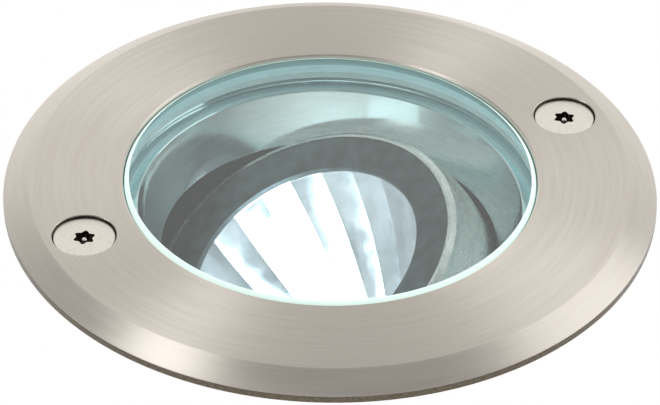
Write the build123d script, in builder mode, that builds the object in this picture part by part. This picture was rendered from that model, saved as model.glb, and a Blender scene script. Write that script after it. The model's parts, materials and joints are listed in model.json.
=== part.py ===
from build123d import *
import math
import os

os.makedirs("parts", exist_ok=True)

# In-ground well light, in millimetres, +Z up.
# The origin is on the light's axis at ground level, where the underside of the bezel ring lies.
# The two bezel screws lie along X. The lamp tilts about an axis along Y, and at rest faces -X and up.

# ---- fits and clearances that several pieces share
push_fit = 0.06
loose_fit = 0.3
thread_fit = 0.05
pivot_fit = 0.05
side_play = 0.1

# ---- lamp: a twist-lock reflector lamp, 50 mm across
lamp_rim_r = 24.9
lamp_rim_height = 2.5
lamp_rim_step = 1.3
lamp_bowl_depth = 27.5
lamp_bowl_bulge = 0.66
lamp_bowl_middle = 0.5
lamp_neck_r = 13.0
lamp_wall = 1.2
lamp_glass_thick = 1.4
lamp_base_height = 16.0
lamp_base_step = 0.7
lamp_pin_spacing = 10.0
lamp_pin_shank_r = 1.6
lamp_pin_head_r = 2.5
lamp_pin_head_height = 2.5
lamp_pin_length = 7.0
capsule_r = 4.6
capsule_length = 17.0

# ---- lampholder and its contacts
lampholder_r = 13.3
lampholder_height = 14.0
lampholder_edge_round = 1.2
socket_depth = 9.0
contact_thick = 0.4
contact_height = 1.6
contact_gap_width = 1.6

# ---- retaining ring and tilting cup, heights above the tilt axis, along the lamp's own axis
ring_face_height = 12.6
ring_face_width = 5.96
ring_skirt_wall = 1.24
ring_dish = 0.95
ring_plate = 1.2
cup_wall = 1.1
cup_rim_proud = 0.1
cup_rim_chamfer = 0.6
cup_ledge_thick = 1.2
cup_ball_bottom_height = -12.0
cup_bore_bottom_height = -11.4
cup_throat_height = -22.0
cup_throat_wall = 1.6
cup_vent_gap = 2.7
cup_vent_r = 2.2
cup_vent_count = 8
head_glass_gap = 0.9
tilt_max_deg = 25.0
tilt_rest_deg = 24.0

# ---- tilt pivots
pivot_boss_r = 5.0
pivot_flat_out = 0.7
pivot_boss_inset = 2.7
pivot_thread_r = 2.0
pivot_shoulder_r = 2.5
pivot_head_r = 4.0
pivot_head_height = 2.4
pivot_slot_width = 1.0
pivot_slot_depth = 1.1
washer_r = 4.6
washer_thick = 0.6

# ---- yoke bracket
yoke_thick = 1.5
yoke_width = 12.0
yoke_bend_r = 3.0
yoke_screw_spacing = 40.0
yoke_screw_r = 2.0
yoke_screw_head_r = 3.8
yoke_screw_head_height = 2.4
yoke_screw_length = 7.0

# ---- glass and its channel seal
glass_thick = 8.0
glass_side_gap = 0.2
glass_arris = 0.5
glass_overlap = 1.9
glass_seal_wall = 1.8
glass_seal_top = 0.8
glass_seal_bottom = 1.2
glass_seal_lip = 3.4
glass_top_step = 3.7

# ---- bezel ring and screws
bezel_thick = 3.5
bezel_bevel_width = 4.3
bezel_bevel_drop = 2.2
bezel_overhang = 2.5
bezel_edge_break = 0.3
bezel_seal_thick = 1.0
bezel_seal_margin = 0.7
screw_r = 2.5
screw_head_r = 5.1
screw_head_land = 0.2
screw_head_sunk = 0.5
screw_mouth_gap = 0.2
screw_length = 16.0
screw_thread_wall = 1.2
drive_lobe_circle_r = 1.4
drive_lobe_r = 0.42
drive_core_r = 1.35
drive_pin_r = 0.45
drive_depth = 1.9

# ---- reflector liner: the polished well between the glass and the lamp
liner_skirt_height = 1.2
liner_depth = 8.5
liner_wall = 0.6
liner_rim_width = 3.0
liner_edge_gap = 1.16

# ---- housing
chamber_side_gap = 3.26
housing_wall = 3.5
housing_floor = 4.0
housing_base_round = 2.0
flange_thick = 7.0
flange_margin = 5.5
screw_boss_wall = 2.0
screw_boss_depth = 17.0
inner_rib_count = 4
inner_rib_width = 3.0
inner_rib_reach = 1.9
gusset_count = 6
gusset_thick = 2.0
gusset_height = 14.0
gusset_start_deg = 30.0
floor_boss_height = 4.0
floor_boss_r = 4.6
floor_pad_round = 2.0
gland_boss_height = 4.0

# ---- terminal block, earth point
block_sweep_gap = 2.0
block_size_x = 17.0
block_pole_pitch = 10.0
block_pole_count = 3
block_height = 12.0
block_wire_height = 5.0
block_yoke_gap = 2.0
block_corner_r = 1.5
block_edge_break = 0.8
block_groove_width = 6.0
block_groove_depth = 2.5
block_fixing_r = 1.5
block_fixing_head_r = 2.6
block_fixing_length = 14.0
insert_r = 2.5
insert_bore_r = 1.6
insert_inset = 1.0
clamp_screw_r = 1.4
clamp_screw_spacing = 8.0
earth_screw_x = 14.0
earth_screw_inset = 5.0
earth_tag_thick = 0.8
earth_tag_r = 4.0
earth_tag_length = 9.0

# ---- cable gland
gland_thread_r = 10.0
gland_hex_flats = 24.0
gland_hex_height = 5.0
gland_washer_thick = 1.5
gland_washer_width = 3.0
gland_stub_length = 11.0
gland_cable_r = 5.0
gland_cable_gap = 1.0
gland_seal_r = 8.4
gland_nut_height = 15.0
gland_nut_lead = 0.5
gland_nut_end = 2.0
gland_wall_margin = 6.5
gland_hex_edge = 1.0

# ---- ground sleeve
sleeve_wall = 2.5
sleeve_seat_gap = 0.5
sleeve_boss_gap = 0.4
sleeve_cable_room = 12.0
notch_width = 24.0
notch_height = 30.0
sleeve_edge_break = 0.8

# ---- internal leads
lead_r = 1.0
lead_entry = 3.0
lead_spacing = 6.0
lead_hole_gap = 0.2
lead_tail = 3.6
lead_first_sway = 1.8
lead_first_shift = 0.1
lead_first_level = 0.39
lead_second_sway = 7.5
lead_second_shift = 0.35
lead_block_run = 8.5
lead_arc_share = 0.45
earth_block_run = 6.0
earth_tag_grip = 5.1
earth_tag_run = 8.0
earth_tag_rise = 0.9

# ================================================================= worked-out sizes
# Lamp, ring and cup radii, from the lamp outwards.
ring_outer_r = lamp_rim_r + loose_fit + ring_skirt_wall
ring_inner_r = ring_outer_r - ring_face_width
cup_inner_r = ring_outer_r + push_fit
cup_outer_r = cup_inner_r + cup_wall
cup_rim_height = ring_face_height + cup_rim_proud
lamp_base_r = lamp_neck_r - lamp_base_step
lamp_bowl_r = lamp_rim_r - lamp_rim_step

# Heights along the lamp's own axis, above the tilt axis.
lamp_face_height = ring_face_height - ring_dish - ring_plate - thread_fit
ledge_height = lamp_face_height - lamp_rim_height
lamp_neck_height = ledge_height - lamp_bowl_depth
lamp_base_bottom = lamp_neck_height - lamp_base_height
holder_top = lamp_base_bottom - side_play
holder_bottom = holder_top - lampholder_height
cup_throat_r = lamp_base_r + cup_vent_gap

# The cup's outside is a ball about the tilt axis, so its gap to the liner is the same at every tilt.
cup_ball_r = math.hypot(cup_outer_r, cup_rim_height)
cup_ball_top_height = cup_rim_height - cup_rim_chamfer
cup_ball_top_r = math.sqrt(cup_ball_r**2 - cup_ball_top_height**2)
cup_ball_bottom_r = math.sqrt(cup_ball_r**2 - cup_ball_bottom_height**2)

# The room that the tilting head sweeps.
tilt_max = math.radians(tilt_max_deg)
head_top_reach = cup_rim_height * math.cos(tilt_max) + (cup_outer_r - cup_rim_chamfer) * math.sin(tilt_max)
tail_side_reach = -holder_bottom * math.sin(tilt_max) + lampholder_r * math.cos(tilt_max)
tail_sweep_r = math.hypot(holder_bottom, lampholder_r)

# Distances along the tilt axis, from the light's axis outwards.
boss_face_y = cup_outer_r + pivot_flat_out
boss_inner_y = cup_outer_r - pivot_boss_inset
ear_inner_y = boss_face_y + washer_thick + side_play
ear_outer_y = ear_inner_y + yoke_thick
pivot_head_y = ear_outer_y + side_play
pivot_end_y = pivot_head_y + pivot_head_height

# Radii of the housing, glass, ring and sleeve, from the chamber outwards.
chamber_r = max(
    math.hypot(pivot_end_y, pivot_head_r) + chamber_side_gap,
    tail_side_reach + inner_rib_reach,
)
housing_r = chamber_r + housing_wall
glass_r = chamber_r + glass_overlap
glass_pocket_r = glass_r + glass_seal_wall + side_play
glass_top_r = glass_r - glass_top_step
bezel_opening_r = glass_top_r + glass_side_gap
screw_circle_r = glass_pocket_r + screw_thread_wall + screw_r
screw_boss_r = screw_r + screw_boss_wall
flange_r = screw_circle_r + flange_margin
sleeve_seat_r = flange_r + sleeve_seat_gap
sleeve_outer_r = sleeve_seat_r + sleeve_wall
sleeve_bore_r = screw_circle_r + screw_boss_r + sleeve_boss_gap
bezel_outer_r = sleeve_outer_r + bezel_overhang

# Levels, from the ring's top downwards.
glass_bottom_z = bezel_thick - glass_thick
glass_step_z = -glass_seal_top
pocket_floor_z = glass_bottom_z - glass_seal_bottom
liner_rim_z = pocket_floor_z - liner_skirt_height
liner_edge_z = liner_rim_z - liner_depth
liner_seat_z = liner_rim_z - liner_wall
pivot_z = glass_bottom_z - head_top_reach - head_glass_gap
block_top_z = pivot_z - tail_sweep_r - block_sweep_gap
floor_pad_z = block_top_z - block_height
floor_z = floor_pad_z - floor_boss_height
base_z = floor_z - housing_floor
gland_boss_z = base_z - gland_boss_height
gland_hex_top_z = gland_boss_z - gland_washer_thick
gland_hex_bottom_z = gland_hex_top_z - gland_hex_height
gland_stub_z = gland_hex_bottom_z - gland_stub_length
gland_nut_top_z = gland_hex_bottom_z - gland_nut_lead
gland_nut_z = gland_nut_top_z - gland_nut_height
sleeve_bottom_z = gland_nut_z - sleeve_cable_room
flange_top_z = -bezel_seal_thick
flange_bottom_z = flange_top_z - flange_thick
screw_top_z = bezel_thick - screw_head_sunk
screw_boss_z = flange_bottom_z - screw_boss_depth + flange_thick

# Radii of the liner, from the cup's ball that passes inside its lower edge.
liner_edge_r = math.sqrt(cup_ball_r**2 - (liner_edge_z - pivot_z) ** 2) + liner_edge_gap
liner_skirt_r = chamber_r - loose_fit
liner_rim_r = liner_skirt_r - liner_wall - liner_rim_width

# Places on the chamber's floor.
block_centre_x = -(yoke_width / 2 + block_yoke_gap + block_size_x / 2)
block_face_x = block_centre_x + block_size_x / 2
block_length = block_pole_pitch * block_pole_count
wire_z = floor_pad_z + block_wire_height
gland_bore_r = gland_thread_r + thread_fit
gland_x = chamber_r - gland_bore_r - gland_wall_margin
earth_screw_y = earth_screw_inset - ear_inner_y

# Planes of the tilting head at rest: its origin is on the tilt axis, and its z points out of the lamp.
head = Plane(origin=(0, 0, pivot_z)).rotated((0, -tilt_rest_deg, 0))
head_side = Plane(origin=head.origin, x_dir=head.x_dir, z_dir=-head.y_dir)
head_axis = Axis(head.origin, head.z_dir)
both_sides = (-1, 1)


def pivot_plane(side, y):
    """The plane square to the tilt axis at y, on one side of the lamp, facing outwards."""
    return Plane(origin=(0, side * y, pivot_z), x_dir=(1, 0, 0), z_dir=(0, side, 0))


def hex_r(flats):
    """The corner radius of a hexagon that measures flats across."""
    return flats / math.sqrt(3)


# ================================================================= bezel ring
with BuildPart() as bezel_ring:
    with BuildSketch(Plane.XZ):
        with BuildLine():
            Polyline(
                (bezel_opening_r, 0),
                (bezel_outer_r, 0),
                (bezel_outer_r, bezel_thick - bezel_bevel_drop),
                (bezel_outer_r - bezel_bevel_width, bezel_thick),
                (bezel_opening_r + bezel_edge_break, bezel_thick),
                (bezel_opening_r, bezel_thick - bezel_edge_break),
                close=True,
            )
        make_face()
    revolve(axis=Axis.Z)
    # Each countersink starts below a short straight mouth, so the screw head sits sunk.
    with BuildSketch(Plane.XY.offset(bezel_thick)):
        with PolarLocations(screw_circle_r, 2):
            Circle(screw_head_r + screw_mouth_gap + thread_fit)
    extrude(amount=-screw_head_sunk, mode=Mode.SUBTRACT)
    with Locations(Plane.XY.offset(screw_top_z)):
        with PolarLocations(screw_circle_r, 2):
            CounterSinkHole(
                radius=screw_r + loose_fit,
                counter_sink_radius=screw_head_r + screw_mouth_gap + thread_fit,
                counter_sink_angle=90,
            )
bezel_ring.part.label = "bezel_ring"

# ================================================================= bezel screws
screw_cone_z = screw_top_z - screw_head_land
screw_neck_z = screw_cone_z - (screw_head_r - screw_r)
with BuildPart() as bezel_screws:
    for side in both_sides:
        with BuildSketch(Plane.XZ.shift_origin((side * screw_circle_r, 0, 0))):
            with BuildLine():
                Polyline(
                    (0, screw_top_z),
                    (screw_head_r, screw_top_z),
                    (screw_head_r, screw_cone_z),
                    (screw_r, screw_neck_z),
                    (screw_r, screw_top_z - screw_length + screw_r / 2),
                    (screw_r / 2, screw_top_z - screw_length),
                    (0, screw_top_z - screw_length),
                    close=True,
                )
            make_face()
        revolve(axis=Axis((side * screw_circle_r, 0, 0), (0, 0, 1)))
    with BuildSketch(Plane.XY.offset(screw_top_z)):
        with PolarLocations(screw_circle_r, 2):
            Circle(drive_core_r)
            with PolarLocations(drive_lobe_circle_r, 6):
                Circle(drive_lobe_r)
            Circle(drive_pin_r, mode=Mode.SUBTRACT)
    extrude(amount=-drive_depth, mode=Mode.SUBTRACT)
bezel_screws.part.label = "bezel_screws"

# ================================================================= bezel seal
seal_inner_r = glass_pocket_r + bezel_seal_margin
seal_outer_r = flange_r - bezel_seal_margin
with BuildPart() as bezel_gasket:
    with BuildSketch(Plane.XY.offset(flange_top_z)):
        Circle(seal_outer_r)
        Circle(seal_inner_r, mode=Mode.SUBTRACT)
        with PolarLocations(screw_circle_r, 2):
            Circle(screw_r + loose_fit, mode=Mode.SUBTRACT)
    extrude(amount=bezel_seal_thick)
bezel_gasket.part.label = "bezel_gasket"

# ================================================================= glass
with BuildPart() as glass_lens:
    with BuildSketch(Plane.XZ):
        with BuildLine():
            Polyline(
                (0, glass_bottom_z),
                (glass_r - glass_arris, glass_bottom_z),
                (glass_r, glass_bottom_z + glass_arris),
                (glass_r, glass_step_z),
                (glass_top_r, glass_step_z),
                (glass_top_r, bezel_thick - glass_arris),
                (glass_top_r - glass_arris, bezel_thick),
                (0, bezel_thick),
                close=True,
            )
        make_face()
    revolve(axis=Axis.Z)
glass_lens.part.label = "glass_lens"

# ================================================================= channel seal of the glass
seal_back_r = glass_r + glass_seal_wall
with BuildPart() as glass_gasket:
    with BuildSketch(Plane.XZ):
        with BuildLine():
            Polyline(
                (glass_r - glass_seal_lip, pocket_floor_z),
                (seal_back_r, pocket_floor_z),
                (seal_back_r, 0),
                (bezel_opening_r + loose_fit, 0),
                (bezel_opening_r + loose_fit, glass_step_z),
                (glass_r, glass_step_z),
                (glass_r, glass_bottom_z),
                (glass_r - glass_seal_lip, glass_bottom_z),
                close=True,
            )
        make_face()
    revolve(axis=Axis.Z)
glass_gasket.part.label = "glass_gasket"

# ================================================================= reflector liner
# A spun shell: an upright skirt that the seal presses on, a flat rim, and the polished cone.
with BuildPart() as reflector_liner:
    with BuildSketch(Plane.XZ):
        with BuildLine():
            Polyline(
                (liner_skirt_r - liner_wall, pocket_floor_z),
                (liner_skirt_r, pocket_floor_z),
                (liner_skirt_r, liner_seat_z),
                (liner_rim_r + liner_wall, liner_seat_z),
                (liner_edge_r + liner_wall, liner_edge_z),
                (liner_edge_r, liner_edge_z),
                (liner_rim_r, liner_rim_z),
                (liner_skirt_r - liner_wall, liner_rim_z),
                close=True,
            )
        make_face()
    revolve(axis=Axis.Z)
reflector_liner.part.label = "reflector_liner"

# ================================================================= housing
yoke_screw_spots = [(0, yoke_screw_spacing / 2), (0, -yoke_screw_spacing / 2)]
earth_spot = (earth_screw_x, earth_screw_y)
boss_spots = yoke_screw_spots + [earth_spot]
block_fixing_y = block_pole_pitch / 2
block_fixing_spots = [(block_centre_x, block_fixing_y), (block_centre_x, -block_fixing_y)]
pad_size_x = block_size_x - 2 * block_yoke_gap
rib_middle_r = chamber_r - inner_rib_reach + (inner_rib_reach + housing_wall / 2) / 2
with BuildPart() as housing:
    with BuildSketch(Plane.XZ):
        with BuildLine():
            Polyline(
                (0, base_z),
                (housing_r - housing_base_round, base_z),
                (housing_r, base_z + housing_base_round),
                (housing_r, flange_bottom_z),
                (flange_r, flange_bottom_z),
                (flange_r, flange_top_z),
                (glass_pocket_r, flange_top_z),
                (glass_pocket_r, pocket_floor_z),
                (chamber_r, pocket_floor_z),
                (chamber_r, floor_z),
                (0, floor_z),
                close=True,
            )
        make_face()
    revolve(axis=Axis.Z)
    # Bosses outside the wall take the bezel screws in blind holes.
    with BuildSketch(Plane.XY.offset(screw_boss_z)):
        with PolarLocations(screw_circle_r, 2):
            Circle(screw_boss_r)
    extrude(amount=flange_bottom_z - screw_boss_z)
    with BuildSketch(Plane.XY.offset(flange_top_z)):
        with PolarLocations(screw_circle_r, 2):
            Circle(screw_r + thread_fit)
    extrude(amount=screw_boss_z + screw_boss_wall - flange_top_z, mode=Mode.SUBTRACT)
    # Gussets under the flange.
    for index in range(gusset_count):
        angle = math.radians(gusset_start_deg + index * 360 / gusset_count)
        gusset_plane = Plane(
            origin=(0, 0, flange_bottom_z),
            x_dir=(math.cos(angle), math.sin(angle), 0),
            z_dir=(math.sin(angle), -math.cos(angle), 0),
        )
        with BuildSketch(gusset_plane):
            with BuildLine():
                Polyline(
                    (housing_r - housing_wall / 2, 0),
                    (flange_r - gusset_thick, 0),
                    (housing_r, -gusset_height),
                    (housing_r - housing_wall / 2, -gusset_height),
                    close=True,
                )
            make_face()
        extrude(amount=gusset_thick / 2, both=True)
    # Ribs inside the chamber carry the liner's rim.
    with BuildSketch(Plane.XY.offset(floor_z)):
        with PolarLocations(rib_middle_r, inner_rib_count, start_angle=180 / inner_rib_count):
            Rectangle(inner_rib_reach + housing_wall / 2, inner_rib_width)
    extrude(amount=liner_seat_z - floor_z)
    # Floor bosses for the yoke and the earth screw, and a pad for the terminal block.
    with BuildSketch(Plane.XY.offset(floor_z - housing_floor / 2)):
        with Locations(*boss_spots):
            Circle(floor_boss_r)
        with Locations((block_centre_x, 0)):
            RectangleRounded(pad_size_x, block_length - 2 * block_yoke_gap, floor_pad_round)
    extrude(amount=floor_boss_height + housing_floor / 2)
    with BuildSketch(Plane.XY.offset(floor_pad_z)):
        with Locations(*boss_spots):
            Circle(yoke_screw_r + thread_fit)
        with Locations(*block_fixing_spots):
            Circle(block_fixing_r + thread_fit)
    extrude(amount=-(floor_boss_height + housing_floor / 2), mode=Mode.SUBTRACT)
    # The threaded boss for the cable gland.
    with BuildSketch(Plane.XY.offset(gland_boss_z)):
        with Locations((gland_x, 0)):
            Circle(hex_r(gland_hex_flats))
    extrude(amount=gland_boss_height + housing_floor / 2)
    with BuildSketch(Plane.XY.offset(gland_boss_z)):
        with Locations((gland_x, 0)):
            Circle(gland_bore_r)
    extrude(amount=gland_boss_height + housing_floor, mode=Mode.SUBTRACT)
housing.part.label = "housing"

# ================================================================= ground sleeve
with BuildPart() as ground_sleeve:
    with BuildSketch(Plane.XZ):
        with BuildLine():
            Polyline(
                (sleeve_bore_r, sleeve_bottom_z),
                (sleeve_outer_r, sleeve_bottom_z),
                (sleeve_outer_r, 0),
                (sleeve_seat_r + sleeve_edge_break, 0),
                (sleeve_seat_r, -sleeve_edge_break),
                (sleeve_seat_r, flange_bottom_z),
                (sleeve_bore_r, flange_bottom_z),
                close=True,
            )
        make_face()
    revolve(axis=Axis.Z)
    # Two notches in the lower edge let the supply cable out.
    notch_arch_z = sleeve_bottom_z + notch_height - notch_width / 2
    with BuildSketch(Plane.YZ):
        with Locations((0, sleeve_bottom_z)):
            Rectangle(notch_width, 2 * (notch_arch_z - sleeve_bottom_z))
        with Locations((0, notch_arch_z)):
            Circle(notch_width / 2)
    extrude(amount=bezel_outer_r, both=True, mode=Mode.SUBTRACT)
ground_sleeve.part.label = "ground_sleeve"

# ================================================================= yoke bracket
# A steel strip bent into a U: it stands on two floor bosses, and its ears carry the tilt pivots.
ear_top_z = pivot_z + yoke_width / 2
with BuildPart() as yoke_bracket:
    with BuildSketch(Plane.YZ):
        with BuildLine():
            FilletPolyline(
                (-ear_outer_y, ear_top_z),
                (-ear_outer_y, floor_pad_z),
                (ear_outer_y, floor_pad_z),
                (ear_outer_y, ear_top_z),
                radius=yoke_bend_r + yoke_thick,
            )
            FilletPolyline(
                (ear_inner_y, ear_top_z),
                (ear_inner_y, floor_pad_z + yoke_thick),
                (-ear_inner_y, floor_pad_z + yoke_thick),
                (-ear_inner_y, ear_top_z),
                radius=yoke_bend_r,
            )
            Line((ear_outer_y, ear_top_z), (ear_inner_y, ear_top_z))
            Line((-ear_inner_y, ear_top_z), (-ear_outer_y, ear_top_z))
        make_face()
    extrude(amount=yoke_width / 2, both=True)
    ear_corners = yoke_bracket.edges().filter_by(Axis.Y).group_by(Axis.Z)[-1]
    fillet(ear_corners, radius=yoke_width / 2 - 2 * side_play)
    with BuildSketch(Plane.XZ):
        with Locations((0, pivot_z)):
            Circle(pivot_shoulder_r + pivot_fit)
    extrude(amount=chamber_r, both=True, mode=Mode.SUBTRACT)
    with BuildSketch(Plane.XY.offset(floor_pad_z)):
        with GridLocations(0, yoke_screw_spacing, 1, 2):
            Circle(yoke_screw_r + loose_fit)
    extrude(amount=yoke_thick, mode=Mode.SUBTRACT)
yoke_bracket.part.label = "yoke_bracket"


def pan_screws(spots, seat_z, shank_r, head_r, head_height, length):
    """Cross-recess pan-head screws standing at the spots, with their heads' undersides at seat_z."""
    with BuildPart() as screws:
        with BuildSketch(Plane.XY.offset(seat_z)):
            with Locations(*spots):
                Circle(head_r)
        extrude(amount=head_height)
        fillet(screws.edges().group_by(Axis.Z)[-1], radius=head_height / 3)
        with BuildSketch(Plane.XY.offset(seat_z)):
            with Locations(*spots):
                Circle(shank_r)
        extrude(amount=-length)
        with BuildSketch(Plane.XY.offset(seat_z + head_height)):
            with Locations(*spots):
                Rectangle(head_r, head_r / 5)
                Rectangle(head_r / 5, head_r)
        extrude(amount=-head_height / 2, mode=Mode.SUBTRACT)
    return screws.part


# ================================================================= yoke screws
yoke_screws = pan_screws(
    yoke_screw_spots,
    floor_pad_z + yoke_thick,
    yoke_screw_r,
    yoke_screw_head_r,
    yoke_screw_head_height,
    yoke_screw_length,
)
yoke_screws.label = "yoke_screws"

# ================================================================= pivot screws
# The shoulder turns in the yoke's ear, and the thread holds in the cup's boss.
with BuildPart() as pivot_screws:
    for side in both_sides:
        with BuildSketch(pivot_plane(side, boss_inner_y)):
            Circle(pivot_thread_r)
        extrude(amount=boss_face_y - boss_inner_y)
        with BuildSketch(pivot_plane(side, boss_face_y)):
            Circle(pivot_shoulder_r)
        extrude(amount=pivot_head_y - boss_face_y)
        with BuildSketch(pivot_plane(side, pivot_head_y)):
            Circle(pivot_head_r)
        extrude(amount=pivot_head_height)
        with BuildSketch(pivot_plane(side, pivot_end_y)):
            Rectangle(pivot_slot_width, 2 * pivot_head_r)
        extrude(amount=-pivot_slot_depth, mode=Mode.SUBTRACT)
pivot_screws.part.label = "pivot_screws"

# ================================================================= friction washers
with BuildPart() as friction_washers:
    for side in both_sides:
        with BuildSketch(pivot_plane(side, boss_face_y)):
            Circle(washer_r)
            Circle(pivot_shoulder_r + thread_fit, mode=Mode.SUBTRACT)
        extrude(amount=washer_thick)
friction_washers.part.label = "friction_washers"

# ================================================================= lamp cup
with BuildPart() as lamp_cup:
    with BuildSketch(head_side):
        with BuildLine():
            ThreePointArc(
                (cup_ball_top_r, cup_ball_top_height),
                (cup_ball_r, 0),
                (cup_ball_bottom_r, cup_ball_bottom_height),
            )
            Polyline(
                (cup_ball_bottom_r, cup_ball_bottom_height),
                (cup_throat_r + cup_throat_wall, cup_throat_height),
                (cup_throat_r, cup_throat_height),
                (cup_inner_r, cup_bore_bottom_height),
                (cup_inner_r, ledge_height - cup_ledge_thick),
                (lamp_bowl_r + loose_fit, ledge_height - cup_ledge_thick),
                (lamp_bowl_r + loose_fit, ledge_height),
                (cup_inner_r, ledge_height),
                (cup_inner_r, cup_rim_height),
                (cup_outer_r - cup_rim_chamfer, cup_rim_height),
                (cup_ball_top_r, cup_ball_top_height),
            )
        make_face()
    revolve(axis=head_axis)
    # Flats on the ball seat the washers, with bosses behind them for the pivot screws' threads.
    for side in both_sides:
        with BuildSketch(pivot_plane(side, boss_face_y)):
            Circle(cup_ball_r)
        extrude(amount=cup_ball_r - boss_face_y, mode=Mode.SUBTRACT)
        with BuildSketch(pivot_plane(side, boss_inner_y)):
            Circle(pivot_boss_r)
        extrude(amount=boss_face_y - boss_inner_y)
        with BuildSketch(pivot_plane(side, boss_inner_y)):
            Circle(pivot_thread_r + thread_fit / 2)
        extrude(amount=boss_face_y - boss_inner_y, mode=Mode.SUBTRACT)
    # Round vents in the cone let the lamp's heat out.
    vent_circle_r = (cup_inner_r + cup_throat_r) / 2
    with BuildSketch(head.offset(cup_throat_height)):
        with PolarLocations(vent_circle_r, cup_vent_count):
            Circle(cup_vent_r)
    extrude(amount=cup_ball_bottom_height - cup_throat_height, mode=Mode.SUBTRACT)
lamp_cup.part.label = "lamp_cup"

# ================================================================= retaining ring
with BuildPart() as retaining_ring:
    with BuildSketch(head_side):
        with BuildLine():
            Polyline(
                (ring_inner_r, ring_face_height - ring_dish),
                (ring_outer_r, ring_face_height),
                (ring_outer_r, ledge_height),
                (ring_outer_r - ring_skirt_wall, ledge_height),
                (ring_outer_r - ring_skirt_wall, lamp_face_height + thread_fit),
                (ring_inner_r, lamp_face_height + thread_fit),
                close=True,
            )
        make_face()
    revolve(axis=head_axis)
retaining_ring.part.label = "retaining_ring"

# ================================================================= lamp bowl
bowl_middle = (
    lamp_neck_r + (lamp_bowl_r - lamp_neck_r) * lamp_bowl_bulge,
    ledge_height - lamp_bowl_depth * lamp_bowl_middle,
)
with BuildPart() as lamp_reflector:
    with BuildSketch(head_side):
        with BuildLine():
            Line((lamp_rim_r, lamp_face_height), (lamp_rim_r, ledge_height))
            Line((lamp_rim_r, ledge_height), (lamp_bowl_r, ledge_height))
            ThreePointArc((lamp_bowl_r, ledge_height), bowl_middle, (lamp_neck_r, lamp_neck_height))
            Line((lamp_neck_r, lamp_neck_height), (lamp_neck_r - lamp_wall, lamp_neck_height))
            ThreePointArc(
                (lamp_neck_r - lamp_wall, lamp_neck_height),
                (bowl_middle[0] - lamp_wall, bowl_middle[1]),
                (lamp_bowl_r - lamp_wall, ledge_height),
            )
            Polyline(
                (lamp_bowl_r - lamp_wall, ledge_height),
                (lamp_bowl_r - lamp_wall, lamp_face_height - lamp_glass_thick),
                (lamp_rim_r - lamp_wall, lamp_face_height - lamp_glass_thick),
                (lamp_rim_r - lamp_wall, lamp_face_height),
                (lamp_rim_r, lamp_face_height),
            )
        make_face()
    revolve(axis=head_axis)
lamp_reflector.part.label = "lamp_reflector"

# ================================================================= lamp front glass
with BuildPart() as lamp_front_glass:
    with BuildSketch(head.offset(lamp_face_height - lamp_glass_thick)):
        Circle(lamp_rim_r - lamp_wall - push_fit)
    extrude(amount=lamp_glass_thick)
    chamfer(lamp_front_glass.edges(), length=lamp_glass_thick / 5)
lamp_front_glass.part.label = "lamp_front_glass"

# ================================================================= lamp base
collar_height = lamp_base_step * 2
with BuildPart() as lamp_base:
    with BuildSketch(head.offset(lamp_base_bottom)):
        Circle(lamp_base_r)
    extrude(amount=lamp_base_height)
    chamfer(lamp_base.edges().group_by(head_axis)[0], length=lamp_base_step)
    with BuildSketch(head.offset(lamp_neck_height)):
        Circle(lamp_neck_r - lamp_wall - push_fit)
    extrude(amount=collar_height)
    with BuildSketch(head.offset(lamp_base_bottom)):
        with GridLocations(0, lamp_pin_spacing, 1, 2):
            Circle(lamp_pin_shank_r + push_fit)
    extrude(amount=lamp_pin_length / 2, mode=Mode.SUBTRACT)
lamp_base.part.label = "lamp_base"

# ================================================================= lamp pins
with BuildPart() as lamp_pins:
    with BuildSketch(head.offset(lamp_base_bottom + lamp_pin_length / 2)):
        with GridLocations(0, lamp_pin_spacing, 1, 2):
            Circle(lamp_pin_shank_r)
    extrude(amount=-1.5 * lamp_pin_length + lamp_pin_head_height)
    with BuildSketch(head.offset(lamp_base_bottom - lamp_pin_length)):
        with GridLocations(0, lamp_pin_spacing, 1, 2):
            Circle(lamp_pin_head_r)
    extrude(amount=lamp_pin_head_height)
lamp_pins.part.label = "lamp_pins"

# ================================================================= lamp capsule
capsule_foot_height = lamp_neck_height + collar_height
capsule_dome_height = capsule_foot_height + capsule_length - capsule_r
with BuildPart() as lamp_capsule:
    with BuildSketch(head_side):
        with BuildLine():
            Line((0, capsule_foot_height), (capsule_r, capsule_foot_height))
            Line((capsule_r, capsule_foot_height), (capsule_r, capsule_dome_height))
            CenterArc((0, capsule_dome_height), capsule_r, 0, 90)
            Line((0, capsule_dome_height + capsule_r), (0, capsule_foot_height))
        make_face()
    revolve(axis=head_axis)
lamp_capsule.part.label = "lamp_capsule"

# ================================================================= lampholder
socket_r = lamp_pin_head_r + contact_thick + push_fit * 2
with BuildPart() as lampholder:
    with BuildSketch(head.offset(holder_bottom)):
        Circle(lampholder_r)
    extrude(amount=lampholder_height)
    fillet(lampholder.edges(), radius=lampholder_edge_round)
    with BuildSketch(head.offset(holder_top)):
        with GridLocations(0, lamp_pin_spacing, 1, 2):
            Circle(socket_r)
    extrude(amount=-socket_depth, mode=Mode.SUBTRACT)
    with BuildSketch(head.offset(holder_bottom)):
        with GridLocations(0, lead_spacing, 1, 2):
            Circle(lead_r + lead_hole_gap)
    extrude(amount=lead_entry, mode=Mode.SUBTRACT)
lampholder.part.label = "lampholder"

# ================================================================= holder contacts
# Split rings in the sockets grip the heads of the lamp's pins.
with BuildPart() as holder_contacts:
    with BuildSketch(head.offset(lamp_base_bottom - lamp_pin_length)):
        with GridLocations(0, lamp_pin_spacing, 1, 2):
            Circle(lamp_pin_head_r + contact_thick + push_fit)
            Circle(lamp_pin_head_r + push_fit, mode=Mode.SUBTRACT)
            with Locations((lamp_pin_head_r, 0)):
                Rectangle(2 * contact_thick + contact_gap_width, contact_gap_width, mode=Mode.SUBTRACT)
    extrude(amount=contact_height)
holder_contacts.part.label = "holder_contacts"

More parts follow.
